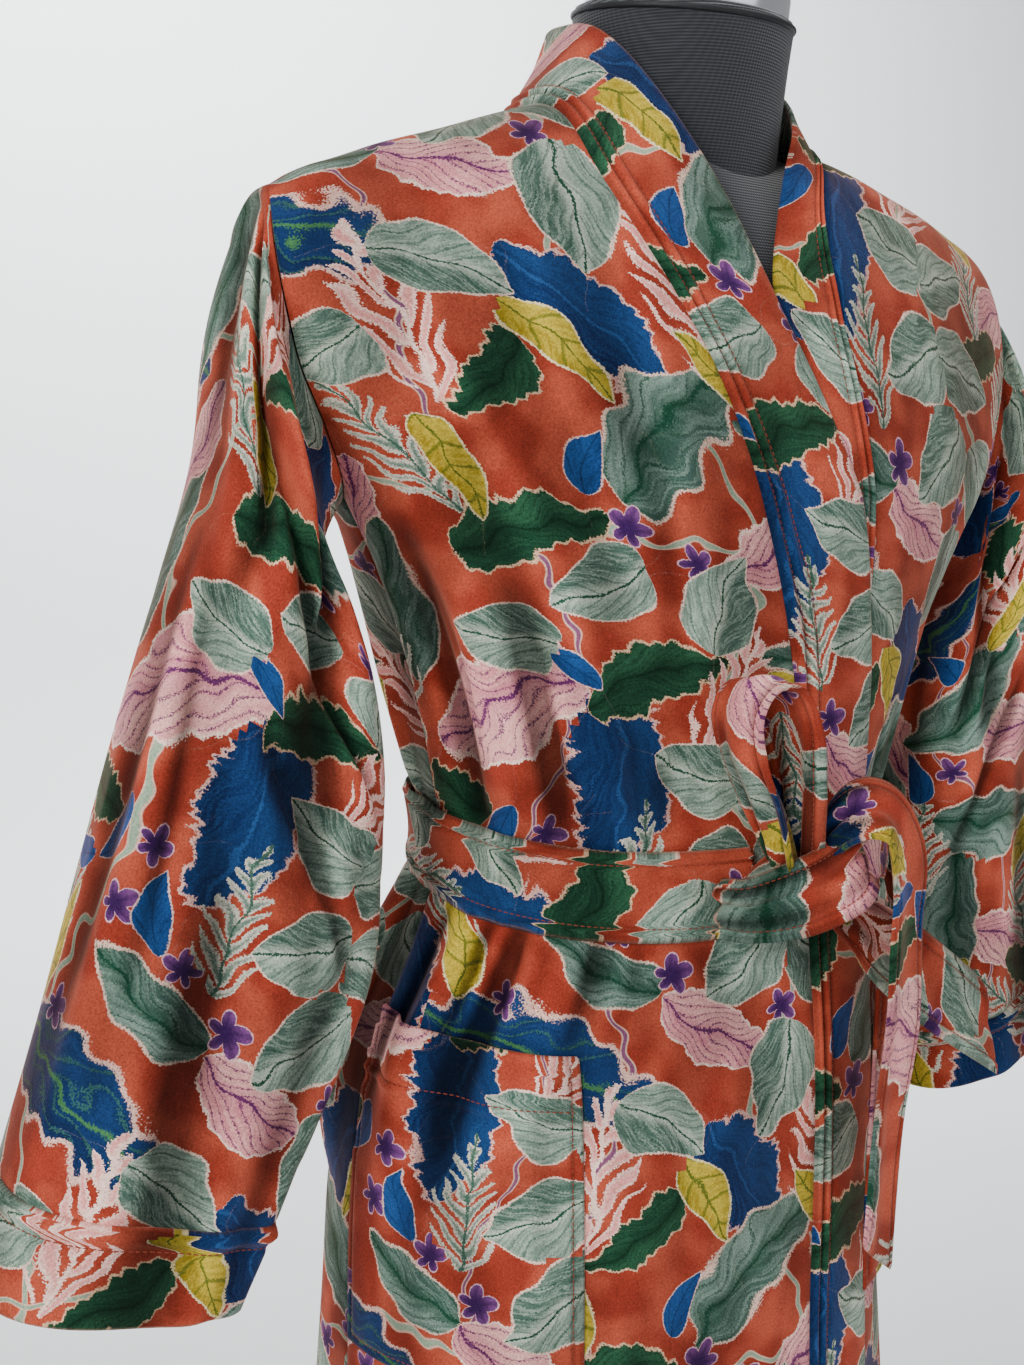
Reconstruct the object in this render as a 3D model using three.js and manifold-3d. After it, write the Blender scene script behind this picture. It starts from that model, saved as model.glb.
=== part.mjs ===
// Velvet kimono robe, belted, on a limbless dress form with a round stand.
// Millimetres, +Z up, the front faces -Y, the wearer's right is at -X, the floor is z = 0.
import * as THREE from 'three';
import Module from 'manifold-3d';
import { mergeVertices } from 'three/addons/utils/BufferGeometryUtils.js';

const wasm = await Module();
wasm.setup();

// Driving sizes
const clothThickness = 2;
const bandThickness = 3;
const seamGap = 0.3;
const seamShare = seamGap / 2;
const hemHeight = 312;
const armpitHeight = 1235;
const shoulderTipHeight = 1389;
const shoulderRidgeY = -30;
const armholeFullness = 0.34;
const yokeShiftX = -12;
const yokeBlendRise = 0.3;
const frontChestPower = 0.8;
const upperBackPower = 0.34;
const outerBackPower = 0.6;
const backNeckReach = 78;
const neckCornerX = 93;
const overlapDrop = 5;
const beltWidth = 42;
const beltThickness = 3;
const beltClearance = 1.4;
const pocketWidth = 152;
const pocketDepth = 178;
const pocketTop = 948;
const formClearance = 2.2;
const neckBaseHeight = 1396;
const neckHeight = 100;
const neckCentreY = -17;
const neckLean = THREE.MathUtils.degToRad(9);
const formHemHeight = 800;
const poleRadius = 15;
const baseRadius = 190;
const baseHeight = 14;

// Cross-sections of the robe's body: half width and half depth of each oval, its centre and squareness
const bodySections = [
  { z: 312, halfWidth: 203, halfDepth: 160, centreX: -11, centreY: 20, power: 2.1 },
  { z: 450, halfWidth: 195, halfDepth: 151, centreX: -11, centreY: 18, power: 2.1 },
  { z: 600, halfWidth: 187, halfDepth: 142, centreX: -11, centreY: 15, power: 2.15 },
  { z: 760, halfWidth: 180, halfDepth: 134, centreX: -12, centreY: 11, power: 2.2 },
  { z: 850, halfWidth: 178, halfDepth: 130, centreX: -12, centreY: 7, power: 2.2 },
  { z: 930, halfWidth: 172, halfDepth: 123, centreX: -9, centreY: 1, power: 2.2 },
  { z: 995, halfWidth: 155, halfDepth: 111, centreX: -2, centreY: -6, power: 2.2 },
  { z: 1045, halfWidth: 146, halfDepth: 102, centreX: 2, centreY: -11, power: 2.2 },
  { z: 1095, halfWidth: 153, halfDepth: 106, centreX: 1, centreY: -15, power: 2.2 },
  { z: 1150, halfWidth: 168, halfDepth: 110, centreX: 0, centreY: -20, power: 2.25 },
  { z: 1200, halfWidth: 188, halfDepth: 112, centreX: 0, centreY: -25, power: 2.3 },
  { z: 1235, halfWidth: 207, halfDepth: 112, centreX: 0, centreY: -28, power: 2.3 },
];

// Half width of the yoke where the armholes lie, by its rise from armpit (0) to shoulder (1)
const yokeWidths = [
  { rise: 0, halfWidth: 207 },
  { rise: 0.12, halfWidth: 222 },
  { rise: 0.3, halfWidth: 235 },
  { rise: 0.6, halfWidth: 241 },
  { rise: 1, halfWidth: 236 },
];

// Largest folds of the body: where each lies round the body (degrees from the centre front,
// the wearer's right negative), how far it leans by its foot, its width, its height above
// the cloth (troughs negative) and the heights between which it runs
const bodyFolds = [
  { side: 'front', angle: -78, lean: 6, width: 6, height: -9, from: 1035, to: 1225 },
  { side: 'front', angle: -66, lean: 4, width: 6, height: 8, from: 1045, to: 1230 },
  { side: 'front', angle: -54, lean: 6, width: 5.5, height: -7, from: 1050, to: 1200 },
  { side: 'front', angle: -43, lean: 3, width: 6, height: 5, from: 1060, to: 1160 },
  { side: 'front', angle: -72, lean: -6, width: 6, height: 8, from: 840, to: 1040 },
  { side: 'front', angle: -58, lean: -5, width: 5.5, height: -7, from: 880, to: 1035 },
  { side: 'front', angle: -44, lean: -3, width: 6, height: 4, from: 900, to: 1030 },
  { side: 'front', angle: -28, lean: -3, width: 9, height: 4, from: 330, to: 900 },
  { side: 'front', angle: 66, lean: 3, width: 6, height: -7, from: 1050, to: 1225 },
  { side: 'front', angle: 77, lean: 4, width: 6, height: 7, from: 1045, to: 1225 },
  { side: 'front', angle: 62, lean: 4, width: 7, height: 6, from: 760, to: 1035 },
  { side: 'front', angle: 76, lean: 4, width: 6, height: -6, from: 700, to: 1030 },
  { side: 'back', angle: -76, lean: -4, width: 6, height: 8, from: 1050, to: 1220 },
  { side: 'back', angle: -58, lean: -4, width: 7, height: -8, from: 1045, to: 1200 },
  { side: 'back', angle: -34, lean: -5, width: 7, height: 6, from: 1050, to: 1170 },
  { side: 'back', angle: 74, lean: 4, width: 6, height: 8, from: 1050, to: 1220 },
  { side: 'back', angle: 52, lean: 4, width: 7, height: -8, from: 1045, to: 1200 },
  { side: 'back', angle: 27, lean: 4, width: 7, height: 6, from: 1050, to: 1160 },
  { side: 'back', angle: -4, lean: 3, width: 7, height: -5, from: 1050, to: 1180 },
  { side: 'back', angle: -76, lean: 4, width: 8, height: 15, from: 850, to: 1045 },
  { side: 'back', angle: -74, lean: 3, width: 8, height: 5, from: 420, to: 850 },
  { side: 'back', angle: -56, lean: 5, width: 6, height: -11, from: 500, to: 1035 },
  { side: 'back', angle: -33, lean: 4, width: 8, height: 10, from: 420, to: 1035 },
  { side: 'back', angle: -10, lean: 2, width: 7, height: -8, from: 450, to: 1030 },
  { side: 'back', angle: 14, lean: 2, width: 8, height: 9, from: 400, to: 1035 },
  { side: 'back', angle: 38, lean: -3, width: 7, height: -9, from: 480, to: 1030 },
  { side: 'back', angle: 60, lean: -4, width: 8, height: 10, from: 450, to: 1035 },
];

// Height of the shoulder line across the body, the wearer's right negative
const shoulderRidge = [
  { x: -250, z: 1380 },
  { x: -223, z: 1394 },
  { x: -169, z: 1414 },
  { x: -120, z: 1430 },
  { x: -86, z: 1440 },
  { x: -40, z: 1443 },
  { x: 30, z: 1433 },
  { x: 80, z: 1425 },
  { x: 115, z: 1417 },
  { x: 165, z: 1402 },
  { x: 205, z: 1388 },
  { x: 230, z: 1373 },
];

// Edges of the fronts: the seam that each side's neckband is sewn to, and the band's folded edge
const frontEdge = [
  { z: 312, rightSeam: 31, rightFold: 88, leftSeam: 64, leftFold: 6 },
  { z: 790, rightSeam: 34, rightFold: 92, leftSeam: 64, leftFold: 6 },
  { z: 1001, rightSeam: 30, rightFold: 87, leftSeam: 63, leftFold: 5 },
  { z: 1060, rightSeam: 22, rightFold: 80, leftSeam: 62, leftFold: 4 },
  { z: 1134, rightSeam: 6, rightFold: 66, leftSeam: 62, leftFold: 4 },
  { z: 1172, rightSeam: -6, rightFold: 56, leftSeam: 61, leftFold: 3 },
  { z: 1230, rightSeam: -28, rightFold: 40, leftSeam: 56, leftFold: 0 },
  { z: 1263, rightSeam: -41, rightFold: 23, leftSeam: 50, leftFold: -5 },
  { z: 1300, rightSeam: -58, rightFold: 3, leftSeam: 42, leftFold: -10 },
  { z: 1332, rightSeam: -76, rightFold: -14, leftSeam: 36, leftFold: -8 },
  { z: 1388, rightSeam: -104, rightFold: -34, leftSeam: 42, leftFold: 8 },
  { z: 1440, rightSeam: -106, rightFold: -56, leftSeam: 82, leftFold: 44 },
];

// Folded edge of the neckband past the chest, by the rise of the seam that it belongs to
const rightFoldOnShoulder = [
  { rise: 0.33, x: -14, y: -127, z: 1337 },
  { rise: 0.5, x: -33, y: -111, z: 1386 },
  { rise: 0.667, x: -50, y: -90, z: 1428 },
  { rise: 0.83, x: -62, y: -66, z: 1460 },
  { rise: 1, x: -69, y: -40, z: 1481 },
];
const leftFoldOnShoulder = [
  { rise: 0.33, x: -8, y: -122, z: 1334 },
  { rise: 0.5, x: 6, y: -108, z: 1368 },
  { rise: 0.667, x: 24, y: -93, z: 1402 },
  { rise: 0.83, x: 45, y: -76, z: 1432 },
  { rise: 1, x: 64, y: -48, z: 1457 },
];

// The same edge behind the neck, from the right shoulder (-1) past the centre back to the left (1)
const foldBehindNeck = [
  { share: -1, x: -69, y: -40, z: 1481 },
  { share: -0.7, x: -67, y: -10, z: 1485 },
  { share: -0.4, x: -55, y: 19, z: 1488 },
  { share: 0, x: 0, y: 46, z: 1487 },
  { share: 0.4, x: 59, y: 20, z: 1477 },
  { share: 0.7, x: 70, y: -14, z: 1466 },
  { share: 1, x: 64, y: -48, z: 1457 },
];

// Sleeves: the outer and inner edge of each oval ring from armhole to cuff, its depth and centre
const rightSleeveRings = [
  { outer: [-248, 1381], inner: [-209, 1233], halfDepth: 44, centreY: -30, power: 2.1 },
  { outer: [-258, 1338], inner: [-219, 1210], halfDepth: 50, centreY: -29, power: 2.2 },
  { outer: [-274, 1268], inner: [-217, 1180], halfDepth: 55, centreY: -28, power: 2.3 },
  { outer: [-297, 1200], inner: [-212, 1130], halfDepth: 57, centreY: -28, power: 2.4 },
  { outer: [-318, 1134], inner: [-208, 1073], halfDepth: 57, centreY: -28, power: 2.4 },
  { outer: [-339, 1065], inner: [-213, 1010], halfDepth: 56, centreY: -28, power: 2.5 },
  { outer: [-360, 1000], inner: [-231, 953], halfDepth: 55, centreY: -28, power: 2.5 },
  { outer: [-381, 937], inner: [-253, 898], halfDepth: 54, centreY: -28, power: 2.6 },
  { outer: [-401, 873], inner: [-277, 848], halfDepth: 53, centreY: -28, power: 2.6 },
];
const leftSleeveRings = [
  { outer: [225, 1381], inner: [207, 1233], halfDepth: 44, centreY: -30, power: 2.1 },
  { outer: [234, 1335], inner: [216, 1208], halfDepth: 48, centreY: -28, power: 2.2 },
  { outer: [248, 1265], inner: [208, 1178], halfDepth: 53, centreY: -25, power: 2.3 },
  { outer: [262, 1195], inner: [192, 1132], halfDepth: 57, centreY: -22, power: 2.4 },
  { outer: [273, 1125], inner: [181, 1075], halfDepth: 58, centreY: -20, power: 2.4 },
  { outer: [287, 1058], inner: [176, 1015], halfDepth: 57, centreY: -18, power: 2.5 },
  { outer: [302, 996], inner: [180, 957], halfDepth: 56, centreY: -17, power: 2.5 },
  { outer: [318, 942], inner: [190, 901], halfDepth: 54, centreY: -16, power: 2.6 },
  { outer: [333, 893], inner: [204, 848], halfDepth: 53, centreY: -16, power: 2.6 },
];

// Largest folds of a sleeve: angle round it (0 outer edge, 90 front, 180 inner edge) at its head
// and foot, its width and height, and the shares of the length between which it runs
const rightSleeveFolds = [
  { headAngle: 128, footAngle: 98, width: 17, height: -15, from: 0.06, to: 0.52 },
  { headAngle: 92, footAngle: 62, width: 17, height: 8, from: 0.05, to: 0.5 },
  { headAngle: 158, footAngle: 140, width: 16, height: 8, from: 0.12, to: 0.55 },
  { headAngle: 150, footAngle: 128, width: 12, height: 6, from: 0.5, to: 1 },
  { headAngle: 235, footAngle: 262, width: 18, height: -12, from: 0.06, to: 0.55 },
  { headAngle: 280, footAngle: 300, width: 18, height: 7, from: 0.1, to: 0.6 },
];
const leftSleeveFolds = [
  { headAngle: 130, footAngle: 104, width: 18, height: -12, from: 0.06, to: 0.5 },
  { headAngle: 88, footAngle: 66, width: 18, height: 7, from: 0.08, to: 0.55 },
  { headAngle: 232, footAngle: 258, width: 18, height: -12, from: 0.06, to: 0.55 },
  { headAngle: 284, footAngle: 300, width: 18, height: 7, from: 0.1, to: 0.6 },
];

// Colours and finishes
const velvet = () => new THREE.MeshStandardMaterial({ color: '#c4523a', roughness: 0.85 });
const formCloth = () => new THREE.MeshStandardMaterial({ color: '#2a2c30', roughness: 0.9 });
const paint = () => new THREE.MeshStandardMaterial({ color: '#1c1d20', roughness: 0.4 });
const steel = () => new THREE.MeshStandardMaterial({ color: '#c9ccd0', roughness: 0.25, metalness: 1 });

// Small tools
const tiny = 0.001;
const degrees = THREE.MathUtils.degToRad;
const lerp = THREE.MathUtils.lerp;
const vector = (x, y, z) => new THREE.Vector3(x, y, z);
const signedPower = (value, power) => Math.sign(value) * Math.abs(value) ** power;
const smooth = (low, high, value) => THREE.MathUtils.smoothstep(value, low, high);

// A value read from a table at a place between its rows, on a smooth curve through them
function readTable(table, key, place, column) {
  const last = table.length - 1;
  const found = table.findIndex((row) => row[key] > place);
  const index = found < 0 ? last - 1 : Math.max(found - 1, 0);
  const low = table[index];
  const high = table[index + 1];
  const before = table[Math.max(index - 1, 0)];
  const after = table[Math.min(index + 2, last)];
  const span = high[key] - low[key];
  const share = THREE.MathUtils.clamp((place - low[key]) / span, 0, 1);
  const slopeIn = ((high[column] - before[column]) / (high[key] - before[key])) * span;
  const slopeOut = ((after[column] - low[column]) / (after[key] - low[key])) * span;
  const cube = share ** 3;
  const square = share ** 2;
  return (2 * cube - 3 * square + 1) * low[column] + (cube - 2 * square + share) * slopeIn
    + (3 * square - 2 * cube) * high[column] + (cube - square) * slopeOut;
}

// A point read from a table's x, y and z columns
const readPoint = (table, key, place) => vector(
  readTable(table, key, place, 'x'),
  readTable(table, key, place, 'y'),
  readTable(table, key, place, 'z'),
);

// One closed wall from two grids of points, rows of columns; a tube closes across its columns
function wallGeometry(outer, inner, closed) {
  const rows = outer.length;
  const columns = outer[0].length;
  const positions = [...outer, ...inner].flat().flatMap((point) => point.toArray());
  const at = (layer, row, column) => (layer * rows + row) * columns + (column % columns);
  const indices = [];
  const quad = (a, b, c, d) => indices.push(a, b, c, a, c, d);
  const spans = closed ? columns : columns - 1;
  for (let row = 0; row < rows - 1; row += 1) {
    for (let column = 0; column < spans; column += 1) {
      quad(at(0, row, column), at(0, row, column + 1), at(0, row + 1, column + 1), at(0, row + 1, column));
      quad(at(1, row + 1, column), at(1, row + 1, column + 1), at(1, row, column + 1), at(1, row, column));
    }
  }
  for (let column = 0; column < spans; column += 1) {
    quad(at(1, 0, column), at(1, 0, column + 1), at(0, 0, column + 1), at(0, 0, column));
    const top = rows - 1;
    quad(at(0, top, column), at(0, top, column + 1), at(1, top, column + 1), at(1, top, column));
  }
  if (!closed) {
    const edge = columns - 1;
    for (let row = 0; row < rows - 1; row += 1) {
      quad(at(1, row + 1, 0), at(1, row, 0), at(0, row, 0), at(0, row + 1, 0));
      quad(at(0, row + 1, edge), at(0, row, edge), at(1, row, edge), at(1, row + 1, edge));
    }
  }
  const geometry = new THREE.BufferGeometry();
  geometry.setAttribute('position', new THREE.Float32BufferAttribute(positions, 3));
  geometry.setIndex(indices);
  return faceOut(geometry);
}

// The same geometry with its faces turned out, found from the sign of its volume
function faceOut(geometry) {
  const position = geometry.getAttribute('position');
  const index = geometry.getIndex();
  const corner = [vector(), vector(), vector()];
  let volume = 0;
  for (let face = 0; face < index.count; face += 3) {
    corner.forEach((point, k) => point.fromBufferAttribute(position, index.getX(face + k)));
    volume += corner[0].dot(corner[1].cross(corner[2]));
  }
  if (volume < 0) {
    for (let face = 0; face < index.count; face += 3) {
      const first = index.getX(face);
      index.setX(face, index.getX(face + 2));
      index.setX(face + 2, first);
    }
  }
  geometry.computeVertexNormals();
  return geometry;
}

// Unit normal of a surface at two of its places, from small steps kept inside its range
function surfaceNormal(surface, across, along, acrossStep, alongStep) {
  const alongEdge = surface(across + acrossStep, along).sub(surface(across - acrossStep, along));
  const upEdge = surface(across, along + alongStep).sub(surface(across, along - alongStep));
  return alongEdge.cross(upEdge).normalize();
}

// Height of the shoulder line above a place across the body
const shoulderLine = (x) => readTable(shoulderRidge, 'x', x, 'z');

// Share of the rise from armpit to shoulder, for a place counted in millimetres of height
const yokeRise = (height) => Math.max((height - armpitHeight) / (shoulderTipHeight - armpitHeight), 0);

// Smooth form of the robe's body with no folds; angle 0 is the centre, 90 a side, front or back
function plainBody(side, angle, height) {
  const rise = Math.min(yokeRise(height), 1);
  const low = Math.min(height, armpitHeight);
  const section = (column) => readTable(bodySections, 'z', low, column);
  const power = section('power');
  const halfWidth = rise > 0 ? readTable(yokeWidths, 'rise', rise, 'halfWidth') : section('halfWidth');
  const turn = Math.sin(degrees(angle));
  const share = signedPower(turn, 2 / power);
  const x = section('centreX') + yokeShiftX * smooth(0, yokeBlendRise, rise) + halfWidth * share;
  const fullness = armholeFullness ** power * smooth(0, yokeBlendRise, rise);
  const depthShare = Math.max(1 - turn ** 2 * (1 - fullness), 0) ** (1 / power);
  const lift = Math.sin((rise * Math.PI) / 2);
  const backPower = lerp(upperBackPower, outerBackPower, turn ** 2);
  const bendPower = side === 'front' ? frontChestPower : backPower;
  const depth = section('halfDepth') * depthShare * Math.max(Math.cos((rise * Math.PI) / 2), 0) ** bendPower;
  const centreY = lerp(section('centreY'), shoulderRidgeY, rise);
  const y = centreY + (side === 'front' ? -depth : depth);
  const z = low + (shoulderLine(x) - armpitHeight) * lift;
  return vector(x, y, z);
}

// Height of the folds above the smooth cloth: each fades to its ends
const foldFadePower = 0.8;

function foldHeight(folds, side, angle, height) {
  let sum = 0;
  for (const fold of folds) {
    const middle = (fold.from + fold.to) / 2;
    const reach = (fold.to - fold.from) / 2;
    const away = Math.abs(height - middle) / reach;
    if (fold.side === side && away < 1) {
      const centre = fold.angle + fold.lean * ((fold.to - height) / (2 * reach));
      const share = (angle - centre) / fold.width;
      sum += fold.height * Math.exp(-share * share) * Math.cos((away * Math.PI) / 2) ** foldFadePower;
    }
  }
  return sum;
}

// The cloth is pressed flat under the belt, a little past its edges
const pressReach = 0.6;
const pressPower = 4;
const beltPress = (height, y) => {
  const away = (height - beltCentre(y)) / (beltWidth * pressReach);
  return 1 - Math.exp(-(away ** pressPower));
};

// Height of the belt's middle: it rides a little higher at the back than at the front
const beltMiddleHeight = 1049;
const beltTilt = 0.2;

function beltCentre(y) {
  return beltMiddleHeight + beltTilt * y;
}

const angleStep = 0.4;
const heightStep = 1.5;
const sideLimit = 89.6;
const sideAngle = 90;
const sideFade = 4;

// Robe body with its folds, moved out by a distance
function bodyPoint(side, angle, height, out = 0) {
  const bounded = THREE.MathUtils.clamp(angle, -sideLimit, sideLimit);
  const top = shoulderTipHeight - heightStep;
  const near = THREE.MathUtils.clamp(height, hemHeight + heightStep, top);
  const normal = surfaceNormal((a, h) => plainBody(side, a, h), bounded, near, angleStep, heightStep);
  const outward = side === 'front' ? normal : normal.negate();
  const place = plainBody(side, angle, height);
  const fold = foldHeight(bodyFolds, side, angle, height) * beltPress(height, place.y);
  const share = Math.min((sideAngle - Math.abs(angle)) / sideFade, 1);
  return place.addScaledVector(outward, out + fold * Math.max(share, 0));
}

// The angle at which the body's surface passes a given x, at a height coordinate
function angleAt(x, height) {
  const low = Math.min(height, armpitHeight);
  const rise = yokeRise(height);
  const centre = readTable(bodySections, 'z', low, 'centreX') + yokeShiftX * smooth(0, yokeBlendRise, rise);
  const power = readTable(bodySections, 'z', low, 'power');
  const halfWidth = rise > 0
    ? readTable(yokeWidths, 'rise', Math.min(rise, 1), 'halfWidth')
    : readTable(bodySections, 'z', low, 'halfWidth');
  const share = THREE.MathUtils.clamp((x - centre) / halfWidth, -1, 1);
  return THREE.MathUtils.radToDeg(Math.asin(signedPower(share, power / 2)));
}

// Where a front's seam or folded edge crosses the body at a height coordinate
const edgeSteps = 12;
const edgeEase = 0.6;

function edgeAngle(height, column) {
  let z = height;
  let x = 0;
  for (let step = 0; step < edgeSteps; step += 1) {
    x = readTable(frontEdge, 'z', z, column);
    z = lerp(z, plainBody('front', angleAt(x, height), height).z, edgeEase);
  }
  return angleAt(x, height);
}

// Heights at which the body's grids have their rows: even in the skirt, close at the waist, and
// a set number from armpit to shoulder that the sleeves share
const skirtRows = [312, 400, 500, 600, 690, 770, 840, 895, 940, 975, 1005];
const waistRows = [1030, 1057, 1082, 1110, 1140, 1170, 1203];
const yokeSpans = 12;
const yokeRows = Array.from({ length: yokeSpans + 1 }, (_, k) => armpitHeight
  + (shoulderTipHeight - armpitHeight) * (k / yokeSpans));
const bodyRows = [...skirtRows, ...waistRows, ...yokeRows];

// The left front passes under the right one, so it lies deeper towards the middle
const underlapAngles = { full: 44, none: 66 };
const underlapRises = { full: 0.4, none: 0.85 };

function underlap(angle, height) {
  const across = 1 - smooth(underlapAngles.full, underlapAngles.none, angle);
  const up = 1 - smooth(underlapRises.full, underlapRises.none, yokeRise(height));
  return -overlapDrop * across * up;
}

// Wall of a body panel over its grid of angles, each row at a height
function panelWall(side, angleRows, heightRows, lift) {
  const layer = (depth) => heightRows.map((heights, row) => heights.map((height, column) => {
    const angle = angleRows[row][column];
    const point = bodyPoint(side, angle, height, lift(angle, height) - depth);
    point.y += side === 'front' ? -seamShare : seamShare;
    return point;
  }));
  return wallGeometry(layer(0), layer(clothThickness), false);
}

// Angles from one edge to the other in even steps
function evenAngles(start, end, columns) {
  return Array.from({ length: columns + 1 }, (_, k) => lerp(start, end, k / columns));
}

// Angle that a seam gap takes on the body, about the same everywhere
const gapAngle = 0.18;
const noLift = () => 0;

// Columns of the back: closer across the neck, with one on each corner of the neckline
const neckCornerAngle = angleAt(neckCornerX + yokeShiftX, shoulderTipHeight);
const backSideAngles = [90, 82.5, 75, 67.5, 60, 52.5, 45, 37.5, 31, 25];
const neckSpans = 4;
const neckAngles = Array.from({ length: neckSpans }, (_, k) => neckCornerAngle * (1 - k / neckSpans));
const backHalf = [...backSideAngles, ...neckAngles];
const backAngles = [...backHalf.map((angle) => -angle), 0, ...[...backHalf].reverse()];

// How far up the yoke the back reaches at an angle: to the shoulder, or to the neckline's oval
function backTopRise(angle) {
  const x = plainBody('back', angle, shoulderTipHeight).x - yokeShiftX;
  const share = Math.abs(x) / neckCornerX;
  if (share >= 1 - tiny) return 1;
  const reach = backNeckReach * Math.sqrt(1 - share ** 2);
  const depth = readTable(bodySections, 'z', armpitHeight, 'halfDepth');
  const power = lerp(upperBackPower, outerBackPower, Math.sin(degrees(angle)) ** 2);
  return Math.acos((reach / depth) ** (1 / power)) / (Math.PI / 2);
}

const yokeSpan = shoulderTipHeight - armpitHeight;
const backRowHeight = (angle, height) => (height <= armpitHeight
  ? height : armpitHeight + yokeSpan * yokeRise(height) * backTopRise(angle));

function backPanel() {
  const angleRows = bodyRows.map(() => backAngles);
  const heightRows = bodyRows.map((height) => backAngles.map((angle) => backRowHeight(angle, height)));
  return panelWall('back', angleRows, heightRows, noLift);
}

// A front, from its side seam to the seam of its band
function frontPanel(mirror, columns, lift) {
  const angleRows = bodyRows.map((height) => (mirror > 0
    ? evenAngles(-90, edgeAngle(height, 'rightSeam') - gapAngle, columns)
    : evenAngles(edgeAngle(height, 'leftSeam') + gapAngle, 90, columns)));
  return panelWall('front', angleRows, angleRows.map((angles, row) => angles.map(() => bodyRows[row])), lift);
}

// Neckband: one strip from hem to hem round the neck, each row from its seam to its folded edge
const bandColumns = 3;
const bandProud = 0.7;
const bandFreeRises = { start: 0.25, end: 0.45 };

function bandRowOnFront(height, mirror) {
  const rise = yokeRise(height);
  const side = mirror > 0 ? 'right' : 'left';
  const lift = mirror > 0 ? noLift : underlap;
  const seamAngle = edgeAngle(height, `${side}Seam`) + mirror * gapAngle;
  const foldAngle = edgeAngle(height, `${side}Fold`);
  const onBody = evenAngles(seamAngle, foldAngle, bandColumns)
    .map((angle) => bodyPoint('front', angle, height, lift(angle, height) + bandProud));
  const free = smooth(bandFreeRises.start, bandFreeRises.end, rise);
  if (free === 0) return onBody;
  const table = mirror > 0 ? rightFoldOnShoulder : leftFoldOnShoulder;
  const fold = readPoint(table, 'rise', rise);
  const seam = onBody[0].clone();
  return onBody.map((point, k) => point.lerp(seam.clone().lerp(fold, k / bandColumns), free));
}

// How far the standing band starts above the edge of the back's neckline
const bandSeamRise = 1.2;

function bandRowBehindNeck(angle) {
  const base = bodyPoint('back', angle, backRowHeight(angle, shoulderTipHeight), 0);
  const fold = readPoint(foldBehindNeck, 'share', angle / neckCornerAngle);
  const seam = base.clone().add(fold.clone().sub(base).setLength(bandSeamRise));
  return evenAngles(0, 1, bandColumns).map((k) => seam.clone().lerp(fold, k));
}

function neckBand() {
  const lastRise = 0.97;
  const frontHeights = bodyRows.map((height) => Math.min(height, armpitHeight + yokeSpan * lastRise));
  const right = frontHeights.map((height) => bandRowOnFront(height, 1));
  const behind = backAngles
    .filter((angle) => Math.abs(angle) < neckCornerAngle - tiny)
    .map(bandRowBehindNeck);
  const left = [...frontHeights].reverse().map((height) => bandRowOnFront(height, -1));
  const outer = [...right, ...behind, ...left];
  const inner = offsetGrid(outer, bandThickness);
  return wallGeometry(outer, inner, false);
}

// A grid moved back along its own normals by a distance
function offsetGrid(grid, distance, closed = false) {
  const lastRow = grid.length - 1;
  const columns = grid[0].length;
  const pick = (row, column) => {
    const k = closed ? (column + columns) % columns : THREE.MathUtils.clamp(column, 0, columns - 1);
    return grid[THREE.MathUtils.clamp(row, 0, lastRow)][k];
  };
  return grid.map((points, row) => points.map((point, column) => {
    const across = pick(row, column + 1).clone().sub(pick(row, column - 1));
    const along = pick(row + 1, column).clone().sub(pick(row - 1, column));
    return point.clone().addScaledVector(across.cross(along).normalize(), -distance);
  }));
}

// Edge of the armhole, by its rise from armpit to shoulder
const armholePoint = (mirror, side, rise, out) => {
  const height = armpitHeight + yokeSpan * rise;
  return bodyPoint(side, -90 * mirror, height, out);
};

// A sleeve's tube by the angle round it and the share of its length, with its folds
const sleeveBlend = 0.2;
const rightHeadBow = 26;
const leftHeadBow = 18;
const bowReach = 0.34;
const bowPower = 0.7;
const armholeGap = 0.5;
function tubePoint(rings, folds, mirror, turn, share) {
  const scaled = rings.map((ring, k) => ({
    place: k / (rings.length - 1),
    outerX: ring.outer[0],
    outerZ: ring.outer[1],
    innerX: ring.inner[0],
    innerZ: ring.inner[1],
    halfDepth: ring.halfDepth,
    centreY: ring.centreY,
    power: ring.power,
  }));
  const read = (column) => readTable(scaled, 'place', share, column);
  const outer = vector(read('outerX'), read('centreY'), read('outerZ'));
  const inner = vector(read('innerX'), read('centreY'), read('innerZ'));
  const centre = outer.clone().lerp(inner, 0.5);
  const half = outer.sub(centre);
  let push = 0;
  for (const fold of folds) {
    const middle = (fold.from + fold.to) / 2;
    const reach = (fold.to - fold.from) / 2;
    const away = Math.abs(share - middle) / reach;
    if (away < 1 || (fold.to === 1 && share > middle)) {
      const at = lerp(fold.headAngle, fold.footAngle, (share - fold.from) / (2 * reach));
      const offset = (turn - at) / fold.width;
      const fade = fold.to === 1 && share > middle ? 1 : Math.cos((away * Math.PI) / 2) ** foldFadePower;
      push += fold.height * Math.exp(-offset * offset) * fade;
    }
  }
  const power = 2 / read('power');
  const along = signedPower(Math.cos(degrees(turn)), power);
  const out = signedPower(Math.sin(degrees(turn)), power);
  const depth = vector(0, -read('halfDepth'), 0);
  const spoke = half.clone().multiplyScalar(along).addScaledVector(depth, out);
  const point = centre.add(spoke).addScaledVector(spoke.clone().normalize(), push);
  const bow = mirror > 0 ? rightHeadBow : leftHeadBow;
  point.x -= mirror * bow * Math.abs(Math.sin(degrees(turn))) ** bowPower * (1 - smooth(0, bowReach, share));
  return point;
}

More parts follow.
